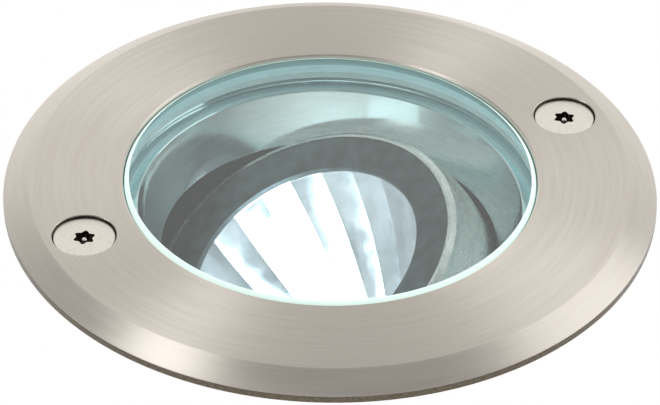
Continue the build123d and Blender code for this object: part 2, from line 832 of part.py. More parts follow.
# ================================================================= terminal block
pole_ys = [block_pole_pitch * (index - (block_pole_count - 1) / 2) for index in range(block_pole_count)]
with BuildPart() as terminal_block:
    with BuildSketch(Plane.XY.offset(floor_pad_z)):
        with Locations((block_centre_x, 0)):
            Rectangle(block_size_x, block_length)
    extrude(amount=block_height)
    upright_edges = terminal_block.edges().filter_by(Axis.Z)
    fillet(upright_edges, radius=block_corner_r)
    chamfer(terminal_block.edges().group_by(Axis.Z)[-1], length=block_edge_break)
    # Shallow grooves part the poles, where a length can be cut off.
    with BuildSketch(Plane.XY.offset(floor_pad_z + block_height)):
        with Locations((block_centre_x, 0)):
            with GridLocations(0, block_pole_pitch, 1, block_pole_count - 1):
                Rectangle(block_size_x, block_groove_width)
    extrude(amount=-block_groove_depth, mode=Mode.SUBTRACT)
    with BuildSketch(Plane.YZ.offset(block_face_x)):
        with Locations(*[(pole_y, wire_z) for pole_y in pole_ys]):
            Circle(insert_r + push_fit)
    extrude(amount=-block_size_x, mode=Mode.SUBTRACT)
    with BuildSketch(Plane.XY.offset(wire_z)):
        with Locations((block_centre_x, 0)):
            with GridLocations(clamp_screw_spacing, block_pole_pitch, 2, block_pole_count):
                Circle(clamp_screw_r + push_fit * 4)
    extrude(amount=block_height, mode=Mode.SUBTRACT)
    with BuildSketch(Plane.XY.offset(floor_pad_z)):
        with Locations(*block_fixing_spots):
            Circle(block_fixing_r + push_fit)
    extrude(amount=block_height, mode=Mode.SUBTRACT)
terminal_block.part.label = "terminal_block"

# ================================================================= terminal inserts
insert_length = block_size_x - 2 * insert_inset
with BuildPart() as terminal_inserts:
    with BuildSketch(Plane.YZ.offset(block_face_x - insert_inset)):
        with Locations(*[(pole_y, wire_z) for pole_y in pole_ys]):
            Circle(insert_r)
            Circle(insert_bore_r, mode=Mode.SUBTRACT)
    extrude(amount=-insert_length)
    with BuildSketch(Plane.XY.offset(wire_z)):
        with Locations((block_centre_x, 0)):
            with GridLocations(clamp_screw_spacing, block_pole_pitch, 2, block_pole_count):
                Circle(clamp_screw_r + push_fit / 2)
    extrude(amount=insert_r + push_fit, mode=Mode.SUBTRACT)
terminal_inserts.part.label = "terminal_inserts"

# ================================================================= terminal screws
clamp_tip_z = wire_z + lead_r + push_fit
clamp_head_z = floor_pad_z + block_height - insert_inset
with BuildPart() as terminal_screws:
    with BuildSketch(Plane.XY.offset(clamp_tip_z)):
        with Locations((block_centre_x, 0)):
            with GridLocations(clamp_screw_spacing, block_pole_pitch, 2, block_pole_count):
                Circle(clamp_screw_r)
    extrude(amount=clamp_head_z - clamp_tip_z)
    with BuildSketch(Plane.XY.offset(clamp_head_z)):
        with Locations((block_centre_x, 0)):
            with GridLocations(clamp_screw_spacing, block_pole_pitch, 2, block_pole_count):
                Rectangle(clamp_screw_r / 3, 2 * clamp_screw_r)
    extrude(amount=-clamp_screw_r / 2, mode=Mode.SUBTRACT)
terminal_screws.part.label = "terminal_screws"

# ================================================================= terminal fixing screws
terminal_fixing_screws = pan_screws(
    block_fixing_spots,
    floor_pad_z + block_height - block_groove_depth,
    block_fixing_r,
    block_fixing_head_r,
    block_fixing_r,
    block_fixing_length,
)
terminal_fixing_screws.label = "terminal_fixing_screws"

# ================================================================= earth ring terminal and screw
# The tag's tail points back at the nearest pole of the block.
tag_direction = Vector(-1, 1, 0).normalized()
tag_plane = Plane(origin=(earth_screw_x, earth_screw_y, floor_pad_z), x_dir=tag_direction, z_dir=(0, 0, 1))
with BuildPart() as earth_ring_terminal:
    with BuildSketch(tag_plane):
        Circle(earth_tag_r)
        with Locations((earth_tag_length / 2, 0)):
            Rectangle(earth_tag_length, lead_r * 3)
        Circle(yoke_screw_r + thread_fit, mode=Mode.SUBTRACT)
    extrude(amount=earth_tag_thick)
earth_ring_terminal.part.label = "earth_ring_terminal"

earth_screw = pan_screws(
    [earth_spot],
    floor_pad_z + earth_tag_thick,
    yoke_screw_r,
    yoke_screw_head_r,
    yoke_screw_head_height,
    yoke_screw_length - yoke_thick + earth_tag_thick,
)
earth_screw.label = "earth_screw"


def corner_radii(points):
    """The largest arc that the runs beside each corner allow, printed with the corner's number."""
    radii = []
    for number in range(1, len(points) - 1):
        before = Vector(*points[number]) - Vector(*points[number - 1])
        after = Vector(*points[number + 1]) - Vector(*points[number])
        turn = math.radians(before.get_angle(after))
        radii.append(lead_arc_share * min(before.length, after.length) / math.tan(turn / 2))
    print("lead radii", [round(radius, 1) for radius in radii])
    return radii


# ================================================================= routes of the leads
tag_lead_z = floor_pad_z + earth_tag_thick + lead_r
tag_near = Vector(earth_screw_x, earth_screw_y, tag_lead_z) + tag_direction * earth_tag_grip
tag_far_z = tag_lead_z + earth_tag_rise
tag_far = Vector(earth_screw_x, earth_screw_y, tag_far_z) + tag_direction * earth_tag_run
earth_points = [
    (block_face_x - lead_entry, pole_ys[0], wire_z),
    (block_face_x + earth_block_run, pole_ys[0], wire_z),
    (tag_far.X, tag_far.Y, tag_far.Z),
    (tag_near.X, tag_near.Y, tag_near.Z),
]

lamp_pole_ys = [pole_ys[1], pole_ys[2]]


def lamp_lead_points(side, pole_y):
    """One lead's route, from inside the lampholder's rear to its pole of the terminal block."""
    entry = head.from_local_coords(Vector(0, side * lead_spacing / 2, holder_bottom + lead_entry))
    below = head.from_local_coords(Vector(0, side * lead_spacing / 2, holder_bottom - lead_tail))
    drop = below.Z - wire_z
    shift = pole_y - below.Y
    return [
        (entry.X, entry.Y, entry.Z),
        (below.X, below.Y, below.Z),
        (below.X - lead_first_sway, below.Y + shift * lead_first_shift, wire_z + drop * lead_first_level),
        (below.X - lead_second_sway, below.Y + shift * lead_second_shift, wire_z),
        (block_face_x + lead_block_run, pole_y, wire_z),
        (block_face_x - lead_entry, pole_y, wire_z),
    ]


def insulated_leads(routes):
    """Round tubes, each along straight runs joined by tangent arcs through its route's points."""
    with BuildPart() as leads:
        for points in routes:
            with BuildLine() as route:
                FilletPolyline(*points, radius=corner_radii(points))
            line = route.wires()[0]
            with BuildSketch(Plane(origin=line @ 0, z_dir=line % 0)):
                Circle(lead_r)
            sweep(path=line)
            print("lead length", round(line.length, 1), "volume", round(math.pi * lead_r**2 * line.length, 1))
    print("volume of the tubes", round(leads.part.volume, 1))
    return leads.part


earth_lead = insulated_leads([earth_points])
earth_lead.label = "earth_lead"

lamp_routes = [lamp_lead_points(side, pole_y) for side, pole_y in zip(both_sides, lamp_pole_ys)]
lamp_leads = insulated_leads(lamp_routes)
lamp_leads.label = "lamp_leads"

# ================================================================= cable gland
gland_base = Plane(origin=(gland_x, 0, 0))
gland_axis = Axis((gland_x, 0, 0), (0, 0, 1))
gland_side = Plane.XZ.shift_origin((gland_x, 0, 0))
seal_bore_top_z = gland_hex_bottom_z + gland_hex_height / 2
with BuildPart() as gland_body:
    with BuildSketch(gland_base.offset(gland_hex_bottom_z)):
        RegularPolygon(hex_r(gland_hex_flats), 6)
    extrude(amount=gland_hex_height)
    with BuildSketch(gland_base.offset(gland_stub_z)):
        Circle(gland_thread_r)
    extrude(amount=floor_z - gland_stub_z)
    with BuildSketch(gland_base.offset(gland_stub_z)):
        Circle(gland_cable_r + gland_cable_gap)
    extrude(amount=floor_z - gland_stub_z, mode=Mode.SUBTRACT)
    with BuildSketch(gland_base.offset(gland_stub_z)):
        Circle(gland_seal_r + push_fit)
    extrude(amount=seal_bore_top_z - gland_stub_z, mode=Mode.SUBTRACT)
gland_body.part.label = "gland_body"

with BuildPart() as gland_washer:
    with BuildSketch(gland_base.offset(gland_hex_top_z)):
        Circle(gland_bore_r + gland_washer_width)
        Circle(gland_bore_r, mode=Mode.SUBTRACT)
    extrude(amount=gland_washer_thick)
    fillet(gland_washer.edges(), radius=gland_washer_thick / 3)
gland_washer.part.label = "gland_washer"

with BuildPart() as gland_seal:
    with BuildSketch(gland_base.offset(gland_nut_z + gland_nut_end)):
        Circle(gland_seal_r)
        Circle(gland_cable_r, mode=Mode.SUBTRACT)
    extrude(amount=seal_bore_top_z - gland_nut_z - gland_nut_end)
gland_seal.part.label = "gland_seal"

with BuildPart() as gland_nut:
    with BuildSketch(gland_base.offset(gland_nut_z)):
        RegularPolygon(hex_r(gland_hex_flats), 6)
    extrude(amount=gland_nut_height)
    # The nut's hexagon runs into a domed end.
    with BuildSketch(gland_side):
        with BuildLine():
            Polyline(
                (gland_cable_r, gland_nut_z),
                (gland_thread_r, gland_nut_z),
                (hex_r(gland_hex_flats), gland_nut_z + 2 * gland_nut_end),
                (hex_r(gland_hex_flats), gland_nut_top_z - gland_hex_edge),
                (gland_hex_flats / 2, gland_nut_top_z),
                (gland_cable_r, gland_nut_top_z),
                close=True,
            )
        make_face()
    revolve(axis=gland_axis, mode=Mode.INTERSECT)
    with BuildSketch(gland_base.offset(gland_nut_z)):
        Circle(gland_cable_r + gland_cable_gap)
    extrude(amount=gland_nut_height, mode=Mode.SUBTRACT)
    with BuildSketch(gland_base.offset(gland_nut_z + gland_nut_end)):
        Circle(gland_thread_r + thread_fit)
    extrude(amount=gland_nut_height, mode=Mode.SUBTRACT)
gland_nut.part.label = "gland_nut"

# ================================================================= export
pieces = [
    bezel_ring.part,
    bezel_screws.part,
    bezel_gasket.part,
    glass_lens.part,
    glass_gasket.part,
    reflector_liner.part,
    housing.part,
    ground_sleeve.part,
    yoke_bracket.part,
    yoke_screws,
    pivot_screws.part,
    friction_washers.part,
    lamp_cup.part,
    retaining_ring.part,
    lamp_reflector.part,
    lamp_front_glass.part,
    lamp_base.part,
    lamp_pins.part,
    lamp_capsule.part,
    lampholder.part,
    holder_contacts.part,
    terminal_block.part,
    terminal_inserts.part,
    terminal_screws.part,
    terminal_fixing_screws,
    earth_ring_terminal.part,
    earth_screw,
    earth_lead,
    lamp_leads,
    gland_body.part,
    gland_washer.part,
    gland_seal.part,
    gland_nut.part,
]
for piece in pieces:
    export_step(piece, f"parts/{piece.label}.step")

print("bezel outer radius", round(bezel_outer_r, 2), "opening", round(bezel_opening_r, 2))
print("screw circle", round(screw_circle_r, 2), "chamber", round(chamber_r, 2))
print("pivot z", round(pivot_z, 2), "sleeve bottom z", round(sleeve_bottom_z, 2))
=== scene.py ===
# %% [markdown]
# # In-ground well light
# A round light that is set flush in paving: a brushed stainless ring with two security screws, a thick
# glass disc in the ring's opening, and below the glass a polished well in which a small lamp tilts.
# The CAD model is loaded as a fixed frame. This script dresses it: it turns finer meshes for the parts
# that the eye rests on, gives every part a procedural finish, and sets up the light and the camera.

# %% Load the frame
import json
import math

import bmesh
import bpy
from mathutils import Matrix, Vector


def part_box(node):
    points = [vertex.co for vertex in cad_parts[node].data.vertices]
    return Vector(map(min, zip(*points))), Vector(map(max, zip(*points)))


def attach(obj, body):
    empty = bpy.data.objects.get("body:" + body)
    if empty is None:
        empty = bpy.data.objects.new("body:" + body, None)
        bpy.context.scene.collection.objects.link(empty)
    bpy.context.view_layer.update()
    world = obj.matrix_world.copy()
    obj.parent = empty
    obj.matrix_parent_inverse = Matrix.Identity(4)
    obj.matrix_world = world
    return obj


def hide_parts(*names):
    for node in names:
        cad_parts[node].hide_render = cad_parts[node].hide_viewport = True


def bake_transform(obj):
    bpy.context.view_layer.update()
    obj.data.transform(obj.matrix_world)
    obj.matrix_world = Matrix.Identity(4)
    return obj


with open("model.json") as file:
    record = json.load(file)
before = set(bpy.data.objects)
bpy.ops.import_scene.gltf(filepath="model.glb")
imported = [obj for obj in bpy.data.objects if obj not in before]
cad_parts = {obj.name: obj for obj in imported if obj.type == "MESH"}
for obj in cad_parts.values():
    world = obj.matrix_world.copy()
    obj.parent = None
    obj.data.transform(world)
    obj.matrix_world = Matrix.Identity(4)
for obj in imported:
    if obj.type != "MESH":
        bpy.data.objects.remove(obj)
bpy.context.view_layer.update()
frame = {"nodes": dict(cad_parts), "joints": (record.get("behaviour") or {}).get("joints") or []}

# %% [markdown]
# ## Sizes
# Blender works in metres and the part was drawn in millimetres, so outlines are written in millimetres
# and scaled once, where a mesh is made. The frame tells where the ring's top is, where the tilt axis
# lies and how far down the sleeve reaches.

# %% Sizes from the frame
MM = 0.001
ring_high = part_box("bezel_ring")[1]
ring_r = ring_high[0] / MM
ring_top = ring_high[2] / MM
sleeve_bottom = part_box("ground_sleeve")[0][2] / MM
glass_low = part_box("glass_lens")[0][2] / MM
tilt_point = Vector(frame["joints"][0]["pos_m"])
tilt_rest = math.radians(24)
head_place = Matrix.Translation(tilt_point) @ Matrix.Rotation(-tilt_rest, 4, "Y")
print("ring radius", round(ring_r, 2), "top", round(ring_top, 2), "sleeve bottom", round(sleeve_bottom, 2))

# %% [markdown]
# ## Camera
# The photograph looks down at the ring from about 37 degrees, a little from the left of the screws'
# line. A long lens at about half a metre keeps the far rim nearly as wide as the near one. The camera
# first looks straight at the middle of the ring, and is then turned by a small pitch and roll.

# %% Camera
camera_height = math.radians(36.79)
camera_turn = math.radians(-23.8)
camera_distance = 0.550
camera_pitch = math.radians(0.507)
camera_roll = math.radians(0.8)

level = Vector((-math.sin(camera_turn), math.cos(camera_turn), 0))
right = Vector((math.cos(camera_turn), math.sin(camera_turn), 0))
ahead = level * math.cos(camera_height) - Vector((0, 0, math.sin(camera_height)))
over = right.cross(ahead)
place = Vector((0, 0, ring_top * MM)) - ahead * camera_distance
forward = ahead * math.cos(camera_pitch) - over * math.sin(camera_pitch)
over = over * math.cos(camera_pitch) + ahead * math.sin(camera_pitch)
side = right * math.cos(camera_roll) + over * math.sin(camera_roll)
over = over * math.cos(camera_roll) - right * math.sin(camera_roll)

camera_data = bpy.data.cameras.new("camera")
camera_data.sensor_width = 36
camera_data.lens = 178.2
camera_data.clip_start = 0.02
camera_data.clip_end = 20
camera = bpy.data.objects.new("camera", camera_data)
camera.matrix_world = Matrix.Translation(place) @ Matrix((side, over, -forward)).transposed().to_4x4()
bpy.context.scene.collection.objects.link(camera)
bpy.context.scene.camera = camera
print("camera at", [round(value, 3) for value in place])

# %% [markdown]
# ## Colours and nodes
# Colours are picked as sRGB hex values, the way they look on a screen, but a shader socket wants linear
# light, so one function turns one into the other. Another small function adds a node, sets it up and
# wires it. Nodes such as Mix and Map Range have hidden sockets of the same name for other kinds of data,
# so it takes the one that is in use.

# %% Helpers for colours and nodes
def linear(colour):
    """An sRGB hex colour as linear red, green, blue and alpha."""
    parts = [int(colour[start:start + 2], 16) / 255 for start in (1, 3, 5)]
    return (*[part / 12.92 if part <= 0.04045 else ((part + 0.055) / 1.055) ** 2.4 for part in parts], 1.0)


def add(tree, kind, inputs=None, **settings):
    """Adds a node with its settings, and fills its inputs with values, other nodes or their outputs."""
    node = tree.nodes.new("ShaderNode" + kind)
    for name, value in settings.items():
        setattr(node, name, value)
    for key, value in (inputs or {}).items():
        if isinstance(key, int):
            socket = node.inputs[key]
        else:
            socket = next(item for item in node.inputs if item.name == key and item.enabled)
        if isinstance(value, bpy.types.Node):
            value = next(item for item in value.outputs if item.enabled)
        if isinstance(value, bpy.types.NodeSocket):
            tree.links.new(value, socket)
        else:
            socket.default_value = value
    return node


print("white in linear light", linear("#ffffff"))

# %% [markdown]
# ## From a pattern to a finish
# No real surface is one flat colour. Each finish starts from a pattern whose grains have a real size.
# The pattern picks a colour between a darker and a paler one, makes the surface a little rougher where
# it is high, and may lift it by a few thousandths of a millimetre. Most of a noise lies in a narrow band
# about its middle, so that band is stretched over the whole range.

# %% Helpers for finishes
noise_band = (0.35, 0.65)


def new_material(name):
    """A material without a shader yet, its node tree, and the piece's own coordinates in metres."""
    material = bpy.data.materials.new(name)
    material.use_nodes = True
    material.node_tree.nodes.clear()
    coords = add(material.node_tree, "TexCoord").outputs["Object"]
    return material, material.node_tree, coords


def finish(material, sockets, volume=None):
    """Gives a material its shader and its output."""
    tree = material.node_tree
    outputs = {"Surface": add(tree, "BsdfPrincipled", sockets)}
    if volume is not None:
        outputs["Volume"] = volume
    add(tree, "OutputMaterial", outputs)
    print("finish", material.name)
    return material


def follow(tree, pattern, shades=None, roughness=None, depth_mm=None, band=noise_band):
    """The shader's sockets for colour, roughness and height, where they follow a pattern."""
    low, high = band
    sockets = {}
    if shades:
        dark, light = (linear(shade) for shade in shades)
        share = add(tree, "MapRange", {"Value": pattern, "From Min": low, "From Max": high})
        sockets["Base Color"] = add(tree, "Mix", {"Factor": share, "A": dark, "B": light}, data_type="RGBA")
    if roughness:
        smooth, rough = roughness
        sockets["Roughness"] = add(tree, "MapRange", {
            "Value": pattern, "From Min": low, "From Max": high, "To Min": smooth, "To Max": rough,
        })
    if depth_mm:
        sockets["Normal"] = add(tree, "Bump", {"Height": pattern, "Distance": depth_mm * MM})
    return sockets


print("noise band", noise_band)

# %% [markdown]
# ### Directions round an axis
# Turned and brushed metal has fine grooves that run round an axis. Two things follow from that: the
# scratches are long along the circle and narrow across it, and the highlight spreads straight out from
# the axis, as the bright wedges on the ring show. Both need a piece's own axis. On the tilting lamp that
# axis leans, so a Mapping node with head_back first turns the coordinates back upright.

# %% Helpers for turned metal
head_back = head_place.inverted()


def around(tree, coords, across_mm, turns):
    """Coordinates in which a pattern is across_mm wide towards the axis and long round it."""
    flat = add(tree, "VectorMath", {0: coords, 1: (1, 1, 0)}, operation="MULTIPLY")
    radius = add(tree, "VectorMath", {0: flat}, operation="LENGTH")
    heading = add(tree, "VectorMath", {0: flat}, operation="NORMALIZE")
    circle = add(tree, "VectorMath", {0: heading, "Scale": turns}, operation="SCALE")
    height = add(tree, "SeparateXYZ", {0: coords}).outputs["Z"]
    total = add(tree, "Math", {0: radius, 1: height}, operation="ADD")
    line = add(tree, "Math", {0: total, 1: 1 / (across_mm * MM)}, operation="MULTIPLY")
    joined = add(tree, "CombineXYZ", {"Z": line})
    return add(tree, "VectorMath", {0: circle, 1: joined}, operation="ADD")


def round_axis(tree, coords):
    """The direction of the grooves of a turned surface: round the Z axis."""
    crossed = add(tree, "VectorMath", {0: (0, 0, 1), 1: coords}, operation="CROSS_PRODUCT")
    return add(tree, "VectorMath", {0: crossed}, operation="NORMALIZE")


print("head leans by", round(math.degrees(tilt_rest), 1), "degrees")

# %% [markdown]
# ## Metal finishes
# A metal is fully metallic, so its base colour is what it reflects. The ring is 304 stainless that was
# turned and then brushed round its axis. Real brush lines are about 0.05 mm apart, too fine to show, so
# they are drawn 0.2 mm apart with a few broader ones among them. The strong anisotropy, with its
# direction round the ring, gives the two crossed bright wedges.

# %% Brushed stainless of the ring
brush_depth = 0.0006


def brushed_stainless():
    material, tree, coords = new_material("stainless_304_brushed_round")
    narrow_grooves = around(tree, coords, across_mm=0.2, turns=5)
    broad_grooves = around(tree, coords, across_mm=0.9, turns=2)
    fine = add(tree, "TexNoise", {"Vector": narrow_grooves, "Scale": 1.0, "Detail": 2.0})
    broad = add(tree, "TexNoise", {"Vector": broad_grooves, "Scale": 1.0, "Detail": 1.0})
    lines = add(tree, "Math", {0: fine, 1: broad}, operation="ADD")
    both_bands = (2 * noise_band[0], 2 * noise_band[1])
    return finish(material, follow(tree, lines, ("#cac4bc", "#d5d0c8"), (0.40, 0.46), band=both_bands) | {
        "Metallic": 1.0,
        "Anisotropic": 0.88,
        "Anisotropic Rotation": 0.25,
        "Tangent": round_axis(tree, coords),
        "Normal": add(tree, "Bump", {"Height": fine, "Distance": brush_depth * MM}),
    })


ring_steel = brushed_stainless()

# %% [markdown]
# ### Metals with an even grain
# The other bare and plated metals have no direction. Tumbling, plating and handling leave soft grains or
# clouds, from a third of a millimetre on the screws to two on zinc. One function makes them all, and
# what differs is how dark, how rough and how coarse each is.

# %% Metals with an even grain
def grained_metal(name, shades, roughness, grain_mm, detail=2.0, depth_mm=None):
    material, tree, coords = new_material(name)
    grain = add(tree, "TexNoise", {"Vector": coords, "Scale": 1 / (grain_mm * MM), "Detail": detail})
    return finish(material, follow(tree, grain, shades, roughness, depth_mm) | {"Metallic": 1.0})


# Cold-headed A2 screws are tumbled, which leaves a fine grainy satin.
screw_steel = grained_metal(
    "stainless_a2_tumbled", ("#d9d3ca", "#e8e4dd"),
    roughness=(0.34, 0.46), grain_mm=0.35, detail=3.0, depth_mm=0.012,
)
# Painted shade: a darker steel on the unbrushed screw mouths, screw recesses and ring's outer wall.
painted_shade_steel = grained_metal(
    "stainless_painted_shade", ("#4a433a", "#61594e"), roughness=(0.3, 0.5), grain_mm=0.5, detail=3.0
)
# Bright zinc over pressed steel is bluish grey, with a faint cloudy spangle.
zinc = grained_metal(
    "steel_zinc_plated", ("#a9aeb1", "#c3c8ca"),
    roughness=(0.28, 0.42), grain_mm=1.8, detail=3.0, depth_mm=0.01,
)
# Nickel over brass has a warmer grey than zinc, and a smoother shine.
nickel = grained_metal("brass_nickel_plated", ("#bdb8ab", "#d0ccc0"), roughness=(0.16, 0.26), grain_mm=0.9)
# Bare turned brass is yellow, and dulls unevenly where it is touched.
brass = grained_metal("brass_turned", ("#b8934a", "#cda95f"), roughness=(0.22, 0.34), grain_mm=0.7)

# %% [markdown]
# ### Aluminium
# The well is spun from bright sheet and buffed: nearly a mirror, with faint spinning lines round it and
# a thin haze that lifts its dark reflections, so it is a little less than fully metallic. The tilting cup
# is turned and clear anodised. The oxide on it scatters some light, so it is paler and softer still.

# %% Polished aluminium of the well
def polished_aluminium():
    material, tree, coords = new_material("aluminium_spun_polished")
    grooves = around(tree, coords, across_mm=0.7, turns=6)
    lines = add(tree, "TexNoise", {"Vector": grooves, "Scale": 1.0, "Detail": 2.0})
    return finish(material, follow(tree, lines, ("#dcebee", "#e6f2f4"), (0.06, 0.10)) | {
        "Metallic": 0.82,
        "Anisotropic": 0.8,
        "Anisotropic Rotation": 0.25,
        "Tangent": round_axis(tree, coords),
    })


well_metal = polished_aluminium()

# %% Satin aluminium of the tilting cup
def satin_aluminium():
    material, tree, coords = new_material("aluminium_turned_satin")
    own = add(tree, "Mapping", {
        "Vector": coords, "Location": head_back.to_translation(), "Rotation": head_back.to_euler(),
    }, vector_type="POINT")
    grooves = around(tree, own, across_mm=0.4, turns=8)
    lines = add(tree, "TexNoise", {"Vector": grooves, "Scale": 1.0, "Detail": 2.0})
    sockets = follow(tree, lines, ("#dadedb", "#e8ebe8"), (0.24, 0.32), depth_mm=0.004)
    return finish(material, sockets | {"Metallic": 0.75})


cup_metal = satin_aluminium()

# %% Dark anodised aluminium of the retaining ring
def dark_anodised():
    # Dyed anodising over blasted aluminium: dark, slightly metallic, with small light specks of dust.
    material, tree, coords = new_material("aluminium_dark_anodised")
    blotches = add(tree, "TexNoise", {"Vector": coords, "Scale": 1 / (3.0 * MM), "Detail": 2.0})
    specks = add(tree, "TexNoise", {
        "Vector": coords, "Scale": 1 / (0.5 * MM), "Detail": 3.0, "Roughness": 0.7,
    })
    dyed = follow(tree, blotches, ("#4b575a", "#5f6d70"))["Base Color"]
    dust = add(tree, "MapRange", {"Value": specks, "From Min": 0.66, "From Max": 0.78, "To Max": 0.5})
    dusty = add(tree, "Mix", {"Factor": dust, "A": dyed, "B": linear("#c3cdca")}, data_type="RGBA")
    sockets = follow(tree, specks, roughness=(0.36, 0.46), depth_mm=0.01)
    return finish(material, sockets | {"Base Color": dusty, "Metallic": 0.75})


dark_metal = dark_anodised()

# %% [markdown]
# ### The lamp's mirror and its light
# The bowl is pressed glass with aluminium vapour on its inside: the brightest mirror here. The lamp is
# on, so its capsule glows a cool white, brightest where the filament is. Light that bounces about in the
# bowl many times is slow to render, so the mirror itself gives off a faint glow in its place.

# %% Mirror and lit capsule of the lamp
def lamp_mirror():
    material, tree, coords = new_material("aluminised_mirror")
    ripple = add(tree, "TexNoise", {"Vector": coords, "Scale": 1 / (2.5 * MM), "Detail": 1.0})
    return finish(material, follow(tree, ripple, ("#eef3f6", "#fafcfd"), (0.12, 0.18), depth_mm=0.02) | {
        "Metallic": 1.0,
        "Emission Color": linear("#dfeaf0"),
        "Emission Strength": 0.08,
    })


def lit_capsule():
    material, tree, coords = new_material("quartz_capsule_lit")
    own = add(tree, "Mapping", {
        "Vector": coords, "Location": head_back.to_translation(), "Rotation": head_back.to_euler(),
    }, vector_type="POINT")
    cloud = add(tree, "TexNoise", {"Vector": own, "Scale": 1 / (6.0 * MM), "Detail": 1.0})
    glow = add(tree, "MapRange", {
        "Value": cloud, "From Min": noise_band[0], "From Max": noise_band[1], "To Min": 7.0, "To Max": 11.0,
    })
    return finish(material, {
        "Base Color": linear("#f4f8fb"),
        "Roughness": 0.2,
        "Emission Color": linear("#eef7ff"),
        "Emission Strength": glow,
    })


bowl_mirror = lamp_mirror()
capsule_glass = lit_capsule()

# %% [markdown]
# ## Glass
# The disc is toughened soda-lime glass. Seen through its thickness it is almost clear, but light that
# crosses it sideways to the edge comes out green-blue. That comes from its volume, not from its surface,
# so the colour is set as absorption: about 1% of the red light is lost in each millimetre. The lamp's
# front is thin borosilicate, which carries no tint of its own. Both faces are smooth, with faint smears.

# %% Clear glass of the disc and of the lamp
tint_per_metre = 12.0


def clear_glass(name, colour, ior, smear_mm, roughness, volume_colour=None):
    material, tree, coords = new_material(name)
    smears = add(tree, "TexNoise", {"Vector": coords, "Scale": 1 / (smear_mm * MM), "Detail": 2.0})
    tint = None
    if volume_colour:
        tint = add(tree, "VolumeAbsorption", {"Color": linear(volume_colour), "Density": tint_per_metre})
    return finish(material, follow(tree, smears, roughness=roughness) | {
        "Base Color": linear(colour),
        "Transmission Weight": 1.0,
        "IOR": ior,
    }, tint)


disc_glass = clear_glass(
    "glass_soda_lime_toughened", "#ffffff",
    ior=1.52, smear_mm=9.0, roughness=(0.0, 0.012), volume_colour="#72e1d5",
)
lamp_glass = clear_glass(
    "borosilicate_lamp_glass", "#f8fbfd", ior=1.46, smear_mm=4.0, roughness=(0.01, 0.04)
)

# %% [markdown]
# ### The edge of the disc and its seal
# The disc's rim is ground, not polished: a matt mint surface. Its colour and a painted glow stand in for
# the light that is caught between the disc's two faces and comes out at the rim: painted shade makes it
# dark teal near the top, and it is paler lower down. A paler band on the narrow arris round the top edge
# paints a thin highlight line. The milky silicone of the seal gets a painted glow as well.

# %% Ground edge of the disc, with a painted glow and painted shade
arris = 0.7
arris_blur = 0.05
ground_depth = 0.02


def ground_edge_painted_glow():
    material, tree, coords = new_material("glass_edge_ground_painted_glow")
    grain = add(tree, "TexNoise", {"Vector": coords, "Scale": 1 / (0.6 * MM), "Detail": 2.0})
    height = add(tree, "SeparateXYZ", {0: coords}).outputs["Z"]
    lower = add(tree, "MapRange", {
        "Value": height, "From Min": glass_low * MM, "From Max": ring_top * MM, "To Min": 1, "To Max": 0,
    })
    arris_foot = ring_top - arris
    painted_arris_line = add(tree, "MapRange", {
        "Value": height,
        "From Min": (arris_foot - arris_blur) * MM,
        "From Max": (arris_foot + arris_blur) * MM,
    })
    # The emission is a painted glow. The darker top of the wall is painted shade, the paler arris a painted
    # highlight line.
    sockets = {"Roughness": 0.55, "Emission Strength": 1.0}
    for socket, *shades in (
        ("Base Color", "#7d9f9d", "#d8ecea", "#e6f2ee"),
        ("Emission Color", "#1a3836", "#6f8d93", "#9fbab4"),
    ):
        top, bottom, rim = (linear(shade) for shade in shades)
        wall = add(tree, "Mix", {"Factor": lower, "A": top, "B": bottom}, data_type="RGBA")
        sockets[socket] = add(tree, "Mix", {"Factor": painted_arris_line, "A": wall, "B": rim}, data_type="RGBA")
    sockets["Normal"] = add(tree, "Bump", {"Height": grain, "Distance": ground_depth * MM})
    return finish(material, sockets)


disc_edge_painted_glow = ground_edge_painted_glow()

# %% Pale silicone of the glass seal, with a painted glow
def glass_seal():
    material, tree, coords = new_material("silicone_gasket_pale_painted_glow")
    blotches = add(tree, "TexNoise", {"Vector": coords, "Scale": 1 / (5.0 * MM), "Detail": 2.0})
    return finish(material, follow(tree, blotches, ("#dbe6e6", "#e9f1f1")) | {
        "Roughness": 0.45,
        # The emission is a painted glow for the light that the glass passes on to the seal.
        "Emission Color": linear("#93a5a8"),
        "Emission Strength": 0.4,
    })


gasket_painted_glow = glass_seal()

# %% [markdown]
# ## Plastics, rubber, ceramic and paint
# None of these is a mirror, so what the eye reads is their colour, how soft their shine is, and the fine
# texture that the mould or the powder coat left: blotches of many millimetres in the colour, and a grain
# of less than one in the surface.

# %% Matt finishes
roughness_swing = 0.06


def matt_finish(name, shades, roughness, grain_mm, depth_mm, blotch_mm=12.0):
    material, tree, coords = new_material(name)
    blotches = add(tree, "TexNoise", {"Vector": coords, "Scale": 1 / (blotch_mm * MM), "Detail": 3.0})
    grain = add(tree, "TexNoise", {"Vector": coords, "Scale": 1 / (grain_mm * MM), "Detail": 2.0})
    sockets = follow(tree, blotches, shades)
    swing = (roughness - roughness_swing, roughness + roughness_swing)
    return finish(material, sockets | follow(tree, grain, roughness=swing, depth_mm=depth_mm))


# Moulded rubber is nearly black and dull.
rubber = matt_finish(
    "rubber_epdm_black", ("#1b1c1c", "#262727"), roughness=0.62, grain_mm=0.4, depth_mm=0.02
)
# Powder coat on a casting has the pebbly skin called orange peel.
powder_coat = matt_finish(
    "powder_coat_black_on_cast_aluminium", ("#25262a", "#303236"),
    roughness=0.5, grain_mm=0.6, depth_mm=0.05,
)
# The sleeve is a plain moulded tube. It never shows in use, so nobody textured its mould.
sleeve_plastic = matt_finish(
    "polypropylene_grey_moulded", ("#6f7275", "#76797c"),
    roughness=0.48, grain_mm=0.8, depth_mm=0.03, blotch_mm=20.0,
)
# Nylon comes black from the gland's mould and a creamy white from the terminal block's.
gland_nylon = matt_finish(
    "nylon_black_moulded", ("#202124", "#2b2c30"), roughness=0.4, grain_mm=0.5, depth_mm=0.015
)
block_nylon = matt_finish(
    "nylon_natural_moulded", ("#dedcd0", "#ebe9e0"),
    roughness=0.42, grain_mm=0.5, depth_mm=0.01, blotch_mm=6.0,
)
